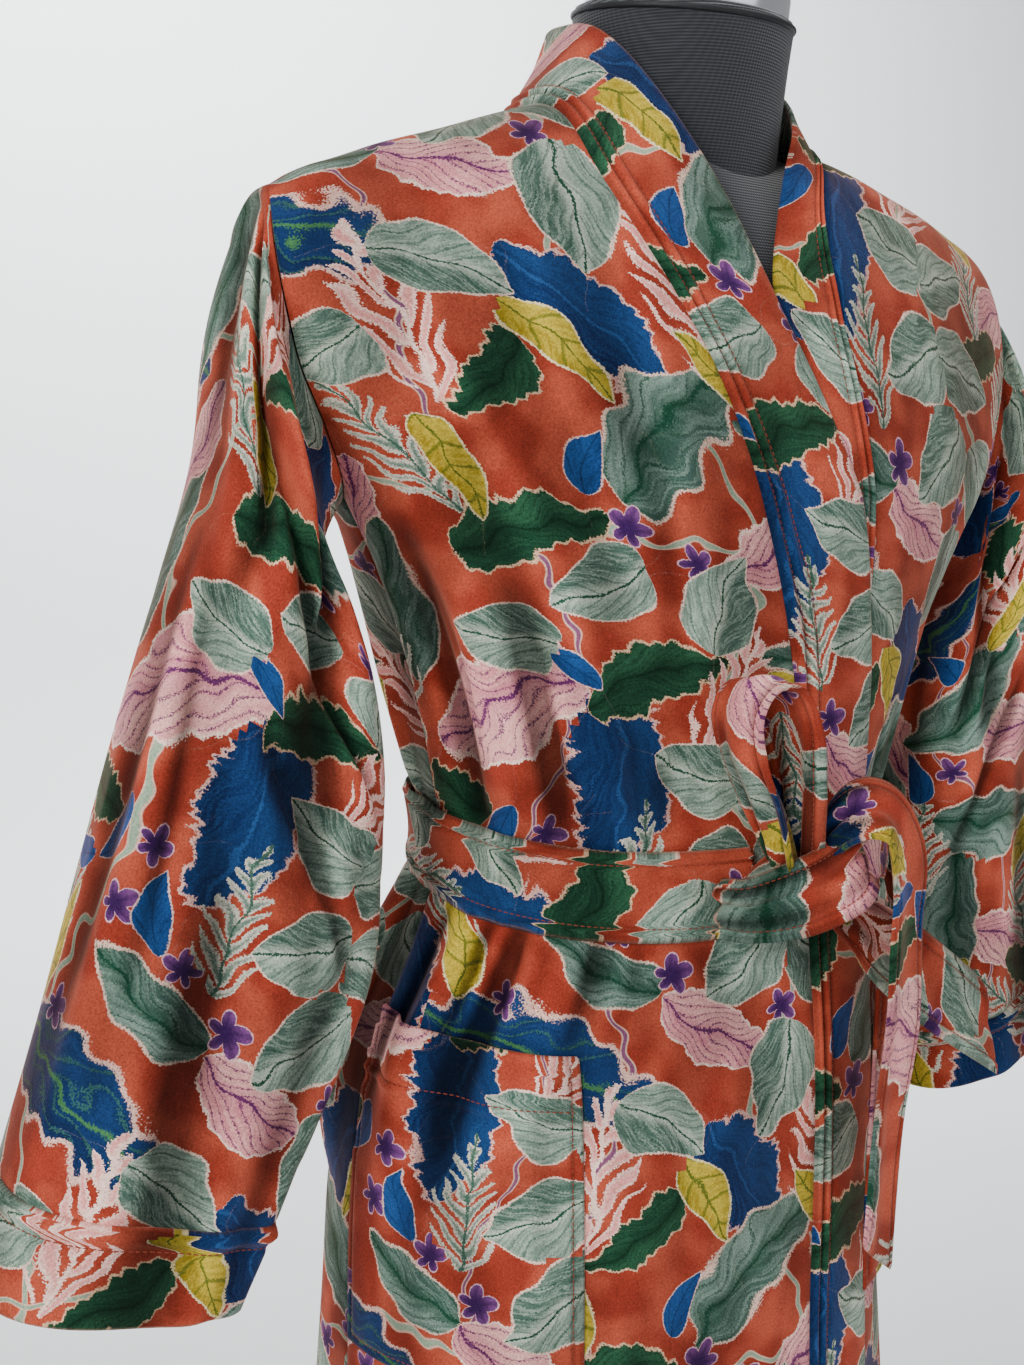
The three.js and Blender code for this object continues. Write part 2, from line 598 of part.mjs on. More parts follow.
// The sleeve's surface: the tube, drawn to the armhole's edge at its head
function sleevePoint(rings, folds, mirror, turn, share) {
  const point = tubePoint(rings, folds, mirror, turn, share);
  const pull = armholeEdge(mirror, turn, 0).sub(tubePoint(rings, folds, mirror, turn, 0));
  return point.addScaledVector(pull, 1 - smooth(0, sleeveBlend, share));
}

// Where a sleeve's head meets the armhole, at an angle round the sleeve
function armholeEdge(mirror, turn, out) {
  const rise = turn <= 180 ? 1 - turn / 180 : (turn - 180) / 180;
  const edge = armholePoint(mirror, turn <= 180 ? 'front' : 'back', rise, out);
  edge.x -= mirror * armholeGap;
  edge.y += Math.sign(180 - turn) * armholeGap * 2 * Math.sqrt(Math.abs(Math.sin(degrees(turn))));
  return edge;
}

const sleeveShares = [0, 0.03, 0.08, 0.15, 0.22, 0.3, 0.39, 0.48, 0.57, 0.66, 0.75, 0.83, 0.912];
const sleeveColumns = 2 * yokeSpans;
const cuffShares = [0.9126, 0.955, 1];

// Under the arm the head's wall thins to an edge, so that it stays clear of the panels
const headThinnest = 0.1;
const headInset = (turn, thickness) => thickness
  * lerp(headThinnest, 1, smooth(0, sideAngle, Math.abs(180 - turn)));

function sleeveWall(rings, folds, mirror, shares, thickness, proud) {
  const turns = Array.from({ length: sleeveColumns }, (_, k) => (360 * k) / sleeveColumns);
  const surface = shares.map((share) => turns.map((turn) => sleevePoint(rings, folds, mirror, turn, share)));
  const sign = mirror > 0 ? 1 : -1;
  const outer = offsetGrid(surface, -proud * sign, true);
  const inner = offsetGrid(surface, (thickness - proud) * sign, true);
  if (shares[0] === 0) inner[0] = turns.map((turn) => armholeEdge(mirror, turn, -headInset(turn, thickness)));
  return wallGeometry(outer, inner, true);
}

const routeStep = 0.02;
const strapColumns = 4;

// A strap of the belt along a route: each row has its centre and the direction of its width
function strap(route, width, spans, slant) {
  const rows = route.map((row, k) => ({ ...row, place: k / (route.length - 1) }));
  const grid = [];
  for (let step = 0; step <= spans; step += 1) {
    const place = step / spans;
    const read = (column) => readTable(rows, 'place', place, column);
    const turn = degrees(read('turn'));
    const tilt = degrees(read('tilt'));
    const across = vector(Math.cos(turn) * Math.cos(tilt), Math.sin(turn) * Math.cos(tilt), Math.sin(tilt));
    const centre = readPoint(rows, 'place', place);
    const next = readPoint(rows, 'place', Math.min(place + routeStep, 1));
    const ahead = next.sub(readPoint(rows, 'place', Math.max(place - routeStep, 0))).normalize();
    across.addScaledVector(ahead, -across.dot(ahead)).normalize();
    const breadth = width * read('breadth');
    const row = [];
    for (let column = 0; column <= strapColumns; column += 1) {
      const share = column / strapColumns - 0.5;
      const point = centre.clone().addScaledVector(across, breadth * share);
      if (step === spans) point.addScaledVector(ahead, slant * share);
      row.push(point);
    }
    grid.push(row);
  }
  return wallGeometry(offsetGrid(grid, -beltThickness / 2), offsetGrid(grid, beltThickness / 2), false);
}

// Belt round the waist, open behind the knot
const beltColumns = 46;
const beltOpening = 5;

function beltWaist() {
  const places = Array.from({ length: beltColumns + 1 }, (_, k) => {
    const turn = lerp(beltOpening, 360 - beltOpening, k / beltColumns);
    if (turn <= 90) return { side: 'front', angle: turn };
    if (turn < 270) return { side: 'back', angle: 180 - turn };
    return { side: 'front', angle: turn - 360 };
  });
  const layer = (out) => evenAngles(-0.5, 0.5, 2).map((share) => places.map(({ side, angle }) => {
    const y = plainBody(side, angle, beltCentre(0)).y;
    return bodyPoint(side, angle, beltCentre(y) + share * beltWidth, out);
  }));
  const inside = bandProud + beltClearance;
  return wallGeometry(layer(inside + beltThickness), layer(inside), false);
}

const knotCentre = { x: 9, y: -133, z: 1032 };
const knotHalfSize = { x: 42, y: 14.5, z: 22 };
const knotSlope = degrees(16);
const knotPower = 0.8;
const knotWrap = { height: 0.07, turnsX: 5, turnsZ: 2 };

// Knot: the belt's own cloth drawn round itself into a firm lump with slanting wraps
function beltKnot(spare) {
  const geometry = new THREE.SphereGeometry(1, 20, 12);
  const position = geometry.getAttribute('position');
  const point = vector();
  for (let k = 0; k < position.count; k += 1) {
    point.fromBufferAttribute(position, k);
    const wind = knotWrap.turnsX * point.x + knotWrap.turnsZ * point.z;
    const wrap = 1 + knotWrap.height * Math.sin(wind);
    const x = (knotHalfSize.x + spare) * signedPower(point.x, knotPower) * wrap;
    const y = (knotHalfSize.y + spare) * signedPower(point.y, knotPower);
    const z = (knotHalfSize.z + spare) * signedPower(point.z, knotPower) * wrap;
    const acrossX = x * Math.cos(knotSlope) - z * Math.sin(knotSlope);
    const upZ = x * Math.sin(knotSlope) + z * Math.cos(knotSlope);
    position.setXYZ(k, knotCentre.x + acrossX, knotCentre.y + y, knotCentre.z + upZ);
  }
  geometry.deleteAttribute('normal');
  geometry.deleteAttribute('uv');
  return faceOut(mergeVertices(geometry));
}

// Routes of the belt's loop and its two hanging ends
const loopRoute = [
  { x: -4, y: -134, z: 1038, turn: -95, tilt: 0, breadth: 0.42 },
  { x: -20, y: -142, z: 1060, turn: -95, tilt: 0, breadth: 0.55 },
  { x: -38, y: -149, z: 1085, turn: -94, tilt: 0, breadth: 0.75 },
  { x: -53, y: -152, z: 1110, turn: -92, tilt: 0, breadth: 0.9 },
  { x: -57, y: -154, z: 1130, turn: -92, tilt: 0, breadth: 0.92 },
  { x: -47, y: -155, z: 1143, turn: -92, tilt: 2, breadth: 0.92 },
  { x: -31, y: -155, z: 1140, turn: -90, tilt: 4, breadth: 0.92 },
  { x: -20, y: -154, z: 1118, turn: -86, tilt: 4, breadth: 0.92 },
  { x: -12, y: -150, z: 1090, turn: -84, tilt: 0, breadth: 0.75 },
  { x: -4, y: -143, z: 1066, turn: -84, tilt: 0, breadth: 0.55 },
  { x: 6, y: -134, z: 1040, turn: -84, tilt: 0, breadth: 0.42 },
];
const longTailRoute = [
  { x: 12, y: -135, z: 1042, turn: 90, tilt: 60, breadth: 0.4 },
  { x: 17, y: -148, z: 1062, turn: 80, tilt: 60, breadth: 0.55 },
  { x: 30, y: -157, z: 1072, turn: 56, tilt: 50, breadth: 0.8 },
  { x: 49, y: -158, z: 1064, turn: 34, tilt: 30, breadth: 0.95 },
  { x: 66, y: -153, z: 1034, turn: 24, tilt: 10, breadth: 1 },
  { x: 71, y: -147, z: 995, turn: 22, tilt: 2, breadth: 1 },
  { x: 72, y: -145, z: 945, turn: 22, tilt: 0, breadth: 1 },
  { x: 71, y: -137, z: 880, turn: 22, tilt: 0, breadth: 1 },
  { x: 70, y: -133, z: 808, turn: 22, tilt: 0, breadth: 1 },
];
const longTailSlant = 30;
const shortTailRoute = [
  { x: 26, y: -132, z: 1026, turn: 20, tilt: 64, breadth: 0.45 },
  { x: 44, y: -132, z: 1010, turn: 20, tilt: 58, breadth: 0.65 },
  { x: 64, y: -131, z: 994, turn: 18, tilt: 52, breadth: 0.9 },
  { x: 90, y: -129, z: 974, turn: 14, tilt: 48, breadth: 1 },
  { x: 126, y: -127, z: 948, turn: 14, tilt: 46, breadth: 1 },
  { x: 166, y: -125, z: 921, turn: 14, tilt: 46, breadth: 0.94 },
];
const shortTailSlant = -34;

// Patch pockets: made from the points of the front, moved out, with a turned hem at the mouth
const pocketColumns = 8;
const pocketRows = [0, 0.2, 0.4, 0.6, 0.8, 0.955, 1];
const pocketInnerX = 113;
const pocketClearance = 2;
const pocketMouthRise = 11;
const pocketGape = 2.2;
const pocketGapeFrom = 0.8;

function pocket(mirror) {
  const layer = (out) => pocketRows.map((share) => {
    const height = pocketTop - pocketDepth * (1 - share);
    const mouth = Math.max(share - pocketGapeFrom, 0) / (1 - pocketGapeFrom);
    const start = angleAt(-pocketInnerX, height);
    const spread = widthAngle(height, start);
    return evenAngles(start, start - spread, pocketColumns).map((angle, column) => {
      const middle = Math.sin((Math.PI * column) / pocketColumns);
      const place = height + pocketMouthRise * share * (column / pocketColumns);
      return bodyPoint('front', mirror > 0 ? angle : -angle, place, out + pocketGape * mouth * middle);
    });
  });
  const outer = layer(pocketClearance + clothThickness);
  const inner = layer(pocketClearance);
  return wallGeometry(outer, inner, false);
}

// Degrees round the body that a pocket's width takes from its inner edge
function widthAngle(height, start) {
  const step = 1;
  let run = 0;
  let angle = start;
  let here = plainBody('front', angle, height);
  while (run < pocketWidth && angle > -90 + step) {
    const next = plainBody('front', angle - step, height);
    run += next.distanceTo(here);
    here = next;
    angle -= step;
  }
  return start - angle;
}

// Dress form: body shape inside the robe, narrower at the shoulders and closed all over
const formInsets = [
  { height: 800, inset: 16, narrow: 1 },
  { height: 930, inset: 13, narrow: 1 },
  { height: 1045, inset: 9, narrow: 1 },
  { height: 1150, inset: 12, narrow: 0.98 },
  { height: 1235, inset: 14, narrow: 0.86 },
  { height: 1289, inset: 16, narrow: 0.8 },
  { height: 1335, inset: 17, narrow: 0.78 },
  { height: 1370, inset: 11, narrow: 0.78 },
  { height: 1389, inset: 6, narrow: 0.78 },
];
const formRows = [800, 860, 925, 985, 1045, 1100, 1150, 1200, 1235, 1262, 1290, 1315, 1338, 1358, 1374, 1386];
const formColumns = 16;
const formTaper = 40;
const formEdge = 0.5;
const formSideShare = 0.005;
const formShoulder = { from: 130, to: 185, drop: 10 };

function formPoint(side, angle, height) {
  const robePoint = plainBody(side, angle, height);
  const inset = readTable(formInsets, 'height', height, 'inset');
  const narrow = readTable(formInsets, 'height', height, 'narrow');
  const low = Math.min(height, armpitHeight);
  const centreX = readTable(bodySections, 'z', low, 'centreX');
  const rise = Math.min(yokeRise(height), 1);
  const centreY = lerp(readTable(bodySections, 'z', low, 'centreY'), shoulderRidgeY, rise);
  const x = centreX + (robePoint.x - centreX) * narrow * (1 - inset * formSideShare);
  const reach = Math.abs(robePoint.y - centreY);
  const depth = Math.max(reach - inset * Math.min(reach / formTaper, 1), formEdge);
  const y = centreY + Math.sign(robePoint.y - centreY) * depth;
  let z = robePoint.z;
  if (height > armpitHeight) {
    const lift = Math.sin((yokeRise(height) * Math.PI) / 2);
    const edge = smooth(formShoulder.from, formShoulder.to, Math.abs(x)) * formShoulder.drop;
    z = armpitHeight + (shoulderLine(x) - clothThickness - formClearance - edge - armpitHeight) * lift;
  }
  return vector(x, y, z);
}

function formTorso() {
  const frontAngles = evenAngles(-90, 90, formColumns);
  const backAnglesHere = evenAngles(90, -90, formColumns);
  const rings = formRows.map((height) => [
    ...frontAngles.map((angle) => formPoint('front', angle, height)),
    ...backAnglesHere.map((angle) => formPoint('back', angle, height)),
  ]);
  return cutBy(loftGeometry(rings), formNeck(seamGap));
}

// What is left of a solid when another one is cut out of it
function cutBy(geometry, cutter) {
  const body = solid(geometry);
  const tool = solid(cutter);
  const mesh = body.subtract(tool).getMesh();
  const result = new THREE.BufferGeometry();
  result.setAttribute('position', new THREE.Float32BufferAttribute(mesh.vertProperties, mesh.numProp));
  result.setIndex([...mesh.triVerts]);
  return faceOut(result);
}

function solid(geometry) {
  const vertProperties = new Float32Array(geometry.getAttribute('position').array);
  const triVerts = new Uint32Array(geometry.getIndex().array);
  return new wasm.Manifold(new wasm.Mesh({ numProp: 3, vertProperties, triVerts }));
}

// Closed solid through rings of an even count, its ends closed by ladders of quads
function loftGeometry(rings) {
  const count = rings[0].length;
  const positions = rings.flat().flatMap((point) => point.toArray());
  const indices = [];
  const quad = (a, b, c, d) => indices.push(a, b, c, a, c, d);
  for (let row = 0; row < rings.length - 1; row += 1) {
    for (let column = 0; column < count; column += 1) {
      const next = (column + 1) % count;
      const low = row * count;
      quad(low + column, low + next, low + count + next, low + count + column);
    }
  }
  const top = (rings.length - 1) * count;
  for (let k = 0; k < count / 2 - 1; k += 1) {
    quad(count - 1 - k, count - 2 - k, k + 1, k);
    quad(top + k, top + k + 1, top + count - 2 - k, top + count - 1 - k);
  }
  const geometry = new THREE.BufferGeometry();
  geometry.setAttribute('position', new THREE.Float32BufferAttribute(positions, 3));
  geometry.setIndex(indices);
  const merged = mergeVertices(geometry, tiny);
  return faceOut(dropFlatFaces(merged));
}

// The geometry without triangles that have lost a side in merging
function dropFlatFaces(geometry) {
  const index = geometry.getIndex();
  const kept = [];
  for (let face = 0; face < index.count; face += 3) {
    const [a, b, c] = [0, 1, 2].map((k) => index.getX(face + k));
    if (a !== b && b !== c && c !== a) kept.push(a, b, c);
  }
  geometry.setIndex(kept);
  return geometry;
}

// Neck block of the form, leaning forward, with its top square to the lean
const neckColumns = 28;
const neckRings = [
  { rise: 0, radius: 60.5 },
  { rise: 0.08, radius: 60 },
  { rise: 0.5, radius: 59.5 },
  { rise: 0.94, radius: 60.5 },
  { rise: 1, radius: 59.5 },
];

function formNeck(spare) {
  const rings = neckRings.map(({ rise, radius }) => Array.from({ length: neckColumns }, (_, k) => {
    const turn = (2 * Math.PI * (k + 0.5)) / neckColumns;
    const reach = radius + spare / Math.cos(Math.PI / neckColumns);
    const x = reach * Math.cos(turn);
    const y = reach * Math.sin(turn);
    const tilt = neckLean * rise;
    const height = neckHeight * rise;
    return vector(
      x,
      neckCentreY + y * Math.cos(tilt) - height * Math.sin(neckLean),
      neckBaseHeight - spare + height * Math.cos(neckLean) + y * Math.sin(tilt),
    );
  }));
  return loftGeometry(rings);
}

// Polished cap on the neck with its knob: radius and height of each corner
const capProfile = [
  [0, 0], [56, 0], [57, 2], [57, 12], [54, 16], [20, 19],
  [9, 21], [9, 27], [14, 32], [16, 38], [12, 45], [0, 48],
];
const capSegments = 28;
const neckCap = () => lathe(capProfile, capSegments);

function lathe(profile, segments) {
  const points = profile.map(([radius, height]) => new THREE.Vector2(radius, height));
  const geometry = new THREE.LatheGeometry(points, segments);
  geometry.deleteAttribute('normal');
  geometry.deleteAttribute('uv');
  const merged = mergeVertices(geometry, tiny);
  merged.rotateX(Math.PI / 2);
  return faceOut(dropFlatFaces(merged));
}

function placedMesh(name, geometry, material) {
  const mesh = new THREE.Mesh(geometry, material);
  mesh.name = name;
  return mesh;
}

const robe = new THREE.Group();
robe.add(placedMesh('back', backPanel(), velvet()));
robe.add(placedMesh('front_right', frontPanel(1, 20, noLift), velvet()));
robe.add(placedMesh('front_left', frontPanel(-1, 17, underlap), velvet()));
robe.add(placedMesh('neckband', neckBand(), velvet()));
const sleeves = [
  { name: 'right', rings: rightSleeveRings, folds: rightSleeveFolds, mirror: 1 },
  { name: 'left', rings: leftSleeveRings, folds: leftSleeveFolds, mirror: -1 },
];
for (const { name, rings, folds, mirror } of sleeves) {
  const sleeve = sleeveWall(rings, folds, mirror, sleeveShares, clothThickness, 0);
  const cuff = sleeveWall(rings, folds, mirror, cuffShares, bandThickness, 1);
  robe.add(placedMesh(`sleeve_${name}`, sleeve, velvet()));
  robe.add(placedMesh(`cuff_${name}`, cuff, velvet()));
  robe.add(placedMesh(`pocket_${name}`, pocket(mirror), velvet()));
}
robe.add(placedMesh('belt_waist', beltWaist(), velvet()));
robe.add(placedMesh('belt_knot', beltKnot(0), velvet()));
const knotRoom = beltKnot(seamGap);
const loop = cutBy(strap(loopRoute, beltWidth, 20, 0), knotRoom);
const longTail = cutBy(strap(longTailRoute, beltWidth, 14, longTailSlant), knotRoom);
const shortTail = cutBy(strap(shortTailRoute, beltWidth, 8, shortTailSlant), knotRoom);
robe.add(placedMesh('belt_loop', loop, velvet()));
robe.add(placedMesh('belt_tail_long', longTail, velvet()));
robe.add(placedMesh('belt_tail_short', shortTail, velvet()));

const form = new THREE.Group();
form.add(placedMesh('form_torso', formTorso(), formCloth()));
form.add(placedMesh('form_neck', formNeck(0), formCloth()));
const cap = placedMesh('neck_cap', neckCap(), steel());
cap.position.set(
  0,
  neckCentreY - (neckHeight + seamGap) * Math.sin(neckLean),
  neckBaseHeight + (neckHeight + seamGap) * Math.cos(neckLean),
);
cap.rotation.x = neckLean;
form.add(cap);
const poleHeight = formHemHeight - baseHeight - 2 * seamGap;
const poleProfile = [[0, 0], [poleRadius, 0], [poleRadius, poleHeight], [0, poleHeight]];
const pole = placedMesh('pole', lathe(poleProfile, 20), steel());
pole.position.z = baseHeight + seamGap;
form.add(pole);
const baseProfile = [
  [0, 0],
  [baseRadius - 2, 0],
  [baseRadius, 2],
  [baseRadius, 7],
  [baseRadius - 8, 12],
  [40, baseHeight],
  [0, baseHeight],
];
form.add(placedMesh('base', lathe(baseProfile, 40), paint()));

const whole = new THREE.Group();
whole.add(form, robe);

export default whole;
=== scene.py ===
import math

import bmesh
import bpy
import numpy as np
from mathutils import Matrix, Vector


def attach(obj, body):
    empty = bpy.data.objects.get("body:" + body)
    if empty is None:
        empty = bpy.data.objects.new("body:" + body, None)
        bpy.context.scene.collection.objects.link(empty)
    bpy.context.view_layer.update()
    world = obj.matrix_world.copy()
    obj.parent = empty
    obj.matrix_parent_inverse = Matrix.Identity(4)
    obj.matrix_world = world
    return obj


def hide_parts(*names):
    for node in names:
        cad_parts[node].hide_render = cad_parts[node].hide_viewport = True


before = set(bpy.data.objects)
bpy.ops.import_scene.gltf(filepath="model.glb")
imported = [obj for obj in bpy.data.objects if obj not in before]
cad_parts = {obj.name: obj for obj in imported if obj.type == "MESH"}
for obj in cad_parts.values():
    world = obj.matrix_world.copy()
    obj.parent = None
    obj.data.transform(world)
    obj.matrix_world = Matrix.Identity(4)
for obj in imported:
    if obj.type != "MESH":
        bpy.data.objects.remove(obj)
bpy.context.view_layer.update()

# Driving sizes of the cloth's form, in millimetres, the same as in the model of the solids
CLOTH = 2.0
BAND = 3.0
SEAM = 0.15
HEM = 312.0
ARMPIT = 1235.0
SHOULDER = 1389.0
RIDGE_Y = -30.0
FULLNESS = 0.34
YOKE_SHIFT = -12.0
CHEST_POWER = 0.8
UPPER_BACK_POWER = 0.34
OUTER_BACK_POWER = 0.6
NECK_REACH = 78.0
NECK_CORNER = 93.0
OVERLAP_DROP = 5.0
BELT_WIDTH = 42.0
BELT_CLEARANCE = 1.4
BELT_HEIGHT = 1049.0
BELT_SLOPE = 0.2
EDGE_STITCH = 4.5
BAND_PROUD = 0.7
POCKET_WIDTH = 152.0
POCKET_DEPTH = 178.0
POCKET_TOP = 948.0
POCKET_INNER_X = 113.0
POCKET_RISE = 11.0
POCKET_HEM_STITCH = 26.5
YOKE_SPAN = SHOULDER - ARMPIT


def table(columns, *rows):
    return {name: np.array(values, float) for name, values in zip(columns.split(), zip(*rows))}


BODY = table(
    "z half_width half_depth centre_x centre_y power",
    (312, 203, 160, -11, 20, 2.1),
    (450, 195, 151, -11, 18, 2.1),
    (600, 187, 142, -11, 15, 2.15),
    (760, 180, 134, -12, 11, 2.2),
    (850, 178, 130, -12, 7, 2.2),
    (930, 172, 123, -9, 1, 2.2),
    (995, 155, 111, -2, -6, 2.2),
    (1045, 146, 102, 2, -11, 2.2),
    (1095, 153, 106, 1, -15, 2.2),
    (1150, 168, 110, 0, -20, 2.25),
    (1200, 188, 112, 0, -25, 2.3),
    (1235, 207, 112, 0, -28, 2.3),
)
YOKE = table(
    "rise half_width", (0, 207), (0.12, 222), (0.3, 235), (0.6, 241), (1, 236)
)
RIDGE = table(
    "x z",
    (-250, 1380), (-223, 1394), (-169, 1414), (-120, 1430), (-86, 1440), (-40, 1443),
    (30, 1433), (80, 1425), (115, 1417), (165, 1402), (205, 1388), (230, 1373),
)
EDGES = table(
    "z right_seam right_fold left_seam left_fold",
    (312, 31, 88, 64, 6),
    (790, 34, 92, 64, 6),
    (1001, 30, 87, 63, 5),
    (1060, 22, 80, 62, 4),
    (1134, 6, 66, 62, 4),
    (1172, -6, 56, 61, 3),
    (1230, -28, 40, 56, 0),
    (1263, -41, 23, 50, -5),
    (1300, -58, 3, 42, -10),
    (1332, -76, -14, 36, -8),
    (1388, -104, -34, 42, 8),
    (1440, -106, -56, 82, 44),
)
RIGHT_FOLD = table(
    "rise x y z",
    (0.33, -14, -127, 1337), (0.5, -33, -111, 1386), (0.667, -50, -90, 1428),
    (0.83, -62, -66, 1460), (1, -69, -40, 1481),
)
LEFT_FOLD = table(
    "rise x y z",
    (0.33, -8, -122, 1334), (0.5, 6, -108, 1368), (0.667, 24, -93, 1402),
    (0.83, 45, -76, 1432), (1, 64, -48, 1457),
)
BEHIND_NECK = table(
    "share x y z",
    (-1, -69, -40, 1481), (-0.7, -67, -10, 1485), (-0.4, -55, 19, 1488), (0, 0, 46, 1487),
    (0.4, 59, 20, 1477), (0.7, 70, -14, 1466), (1, 64, -48, 1457),
)
SLEEVE_COLUMNS = "place outer_x outer_z inner_x inner_z half_depth centre_y power"
RIGHT_SLEEVE = table(
    SLEEVE_COLUMNS,
    (0, -248, 1381, -209, 1233, 44, -30, 2.1),
    (0.125, -258, 1338, -219, 1210, 50, -29, 2.2),
    (0.25, -274, 1268, -217, 1180, 55, -28, 2.3),
    (0.375, -297, 1200, -212, 1130, 57, -28, 2.4),
    (0.5, -318, 1134, -208, 1073, 57, -28, 2.4),
    (0.625, -339, 1065, -213, 1010, 56, -28, 2.5),
    (0.75, -360, 1000, -231, 953, 55, -28, 2.5),
    (0.875, -381, 937, -253, 898, 54, -28, 2.6),
    (1, -401, 873, -277, 848, 53, -28, 2.6),
)
LEFT_SLEEVE = table(
    SLEEVE_COLUMNS,
    (0, 225, 1381, 207, 1233, 44, -30, 2.1),
    (0.125, 234, 1335, 216, 1208, 48, -28, 2.2),
    (0.25, 248, 1265, 208, 1178, 53, -25, 2.3),
    (0.375, 262, 1195, 192, 1132, 57, -22, 2.4),
    (0.5, 273, 1125, 181, 1075, 58, -20, 2.4),
    (0.625, 287, 1058, 176, 1015, 57, -18, 2.5),
    (0.75, 302, 996, 180, 957, 56, -17, 2.5),
    (0.875, 318, 942, 190, 901, 54, -16, 2.6),
    (1, 333, 893, 204, 848, 53, -16, 2.6),
)

# Folds of the body: side (1 front, -1 back), angle, lean by the foot, width, height, foot and head
BODY_FOLDS = (
    (1, -78, 6, 6, -9, 1035, 1225), (1, -66, 4, 6, 8, 1045, 1230), (1, -54, 6, 5.5, -7, 1050, 1200),
    (1, -43, 3, 6, 5, 1060, 1160), (1, -72, -6, 6, 8, 840, 1040), (1, -58, -5, 5.5, -7, 880, 1035),
    (1, -44, -3, 6, 4, 900, 1030), (1, -28, -3, 9, 4, 330, 900), (1, 66, 3, 6, -7, 1050, 1225),
    (1, 77, 4, 6, 7, 1045, 1225), (1, 62, 4, 7, 6, 760, 1035), (1, 76, 4, 6, -6, 700, 1030),
    (-1, -76, -4, 6, 8, 1050, 1220), (-1, -58, -4, 7, -8, 1045, 1200), (-1, -34, -5, 7, 6, 1050, 1170),
    (-1, 74, 4, 6, 8, 1050, 1220), (-1, 52, 4, 7, -8, 1045, 1200), (-1, 27, 4, 7, 6, 1050, 1160),
    (-1, -4, 3, 7, -5, 1050, 1180), (-1, -76, 4, 8, 15, 850, 1045), (-1, -74, 3, 8, 5, 420, 850),
    (-1, -56, 5, 6, -11, 500, 1035), (-1, -33, 4, 8, 10, 420, 1035), (-1, -10, 2, 7, -8, 450, 1030),
    (-1, 14, 2, 8, 9, 400, 1035), (-1, 38, -3, 7, -9, 480, 1030), (-1, 60, -4, 8, 10, 450, 1035),
)
# Smaller creases that only the shown cloth has, in the same columns
SMALL_FOLDS = (
    (1, -74, 7, 2.6, 4.5, 1050, 1190), (1, -62, 6, 2.4, 4, 1052, 1170),
    (1, -49, 5, 2.4, 3.6, 1054, 1150), (1, -37, 4, 2.4, 3, 1056, 1130),
    (1, -70, -7, 2.4, 4.5, 925, 1036), (1, -60, -6, 2.2, 4, 950, 1034),
    (1, -50, -5, 2.2, 3.6, 955, 1034), (1, -40, -4, 2.2, 3, 965, 1032),
    (1, -30, -3, 2.4, 2.6, 950, 1030), (1, -20, 4, 3, 3, 1110, 1330), (1, -34, 9, 3.2, 3.6, 1150, 1320),
    (1, -52, 12, 3.4, 3.6, 1140, 1300), (1, 70, 5, 2.4, 4, 1050, 1190), (1, 80, 5, 2.4, 4, 1050, 1180),
    (1, 68, -5, 2.4, 4, 920, 1034), (1, 79, -5, 2.4, 4, 900, 1034), (1, -84, 5, 2.5, -3.5, 1075, 1215),
    (1, -72, 5, 2.2, -3, 1050, 1190), (1, -60, 7, 2.4, 2.4, 1052, 1165),
    (1, -49, 6, 2.0, -2.2, 1055, 1128), (1, -38, 5, 2.2, 1.8, 1058, 1115),
    (1, -26, 3, 2.4, -1.6, 1058, 1105), (1, -15, 2, 2.4, 1.3, 1060, 1100),
    (1, -80, -6, 2.4, -3.2, 905, 1035), (1, -65, -5, 2.2, -2.6, 935, 1035),
    (1, -51, -4, 2.0, 2.4, 930, 1034), (1, -37, -3, 2.2, -2.2, 945, 1032),
    (1, -24, -2, 2.2, 1.6, 965, 1030), (1, -12, -2, 2.4, -1.4, 972, 1030),
    (1, 40, 2, 2.6, 2.0, 955, 1032), (1, 50, 3, 2.4, -2.6, 925, 1034), (1, 69, 3, 2.3, 2.6, 905, 1035),
    (1, 83, 3, 2.2, -3.0, 890, 1035), (1, 45, -2, 2.6, -2.0, 1055, 1130),
    (1, 57, -3, 2.3, 2.4, 1052, 1165), (1, 72, -4, 2.2, -3.0, 1050, 1190),
    (1, -62, 9, 7, 3.0, 560, 860), (1, -12, 4, 8, -3.0, 320, 780), (1, -70, 4, 7, -4.0, 330, 760),
    (1, 58, 5, 7, 4.0, 330, 740), (1, 74, 4, 7, -5.0, 320, 700), (-1, -84, 4, 2.4, -4, 900, 1040),
    (-1, -67, 4, 2.6, 3.4, 930, 1038), (-1, -46, 3, 2.4, -3.2, 940, 1036),
    (-1, -22, 3, 2.6, 3.0, 930, 1036), (-1, 2, 1, 2.4, -2.8, 945, 1036),
    (-1, 26, -2, 2.5, 3.0, 935, 1036), (-1, 49, -3, 2.4, -3.2, 940, 1036),
    (-1, 71, -3, 2.6, 3.4, 925, 1038), (-1, -80, -4, 2.4, -3, 1052, 1180),
    (-1, -67, -4, 2.3, 3, 1052, 1150), (-1, -46, -5, 2.2, -2.6, 1052, 1135),
    (-1, -22, -3, 2.4, 2.4, 1052, 1128), (-1, 8, 2, 2.4, -2.4, 1052, 1125),
    (-1, 38, 4, 2.3, 2.6, 1052, 1135), (-1, 62, 4, 2.3, -3, 1052, 1155),
    (-1, 82, 4, 2.4, 3, 1052, 1180), (-1, -66, -2, 6, 4, 320, 560), (-1, -22, 2, 6, -4, 320, 640),
    (-1, 26, 2, 6, 4, 320, 600), (-1, 50, 2, 6, -4, 320, 560), (-1, 20, 6, 10, 4, 1200, 1360),
    (-1, -24, -6, 9, -3.5, 1210, 1340),
)
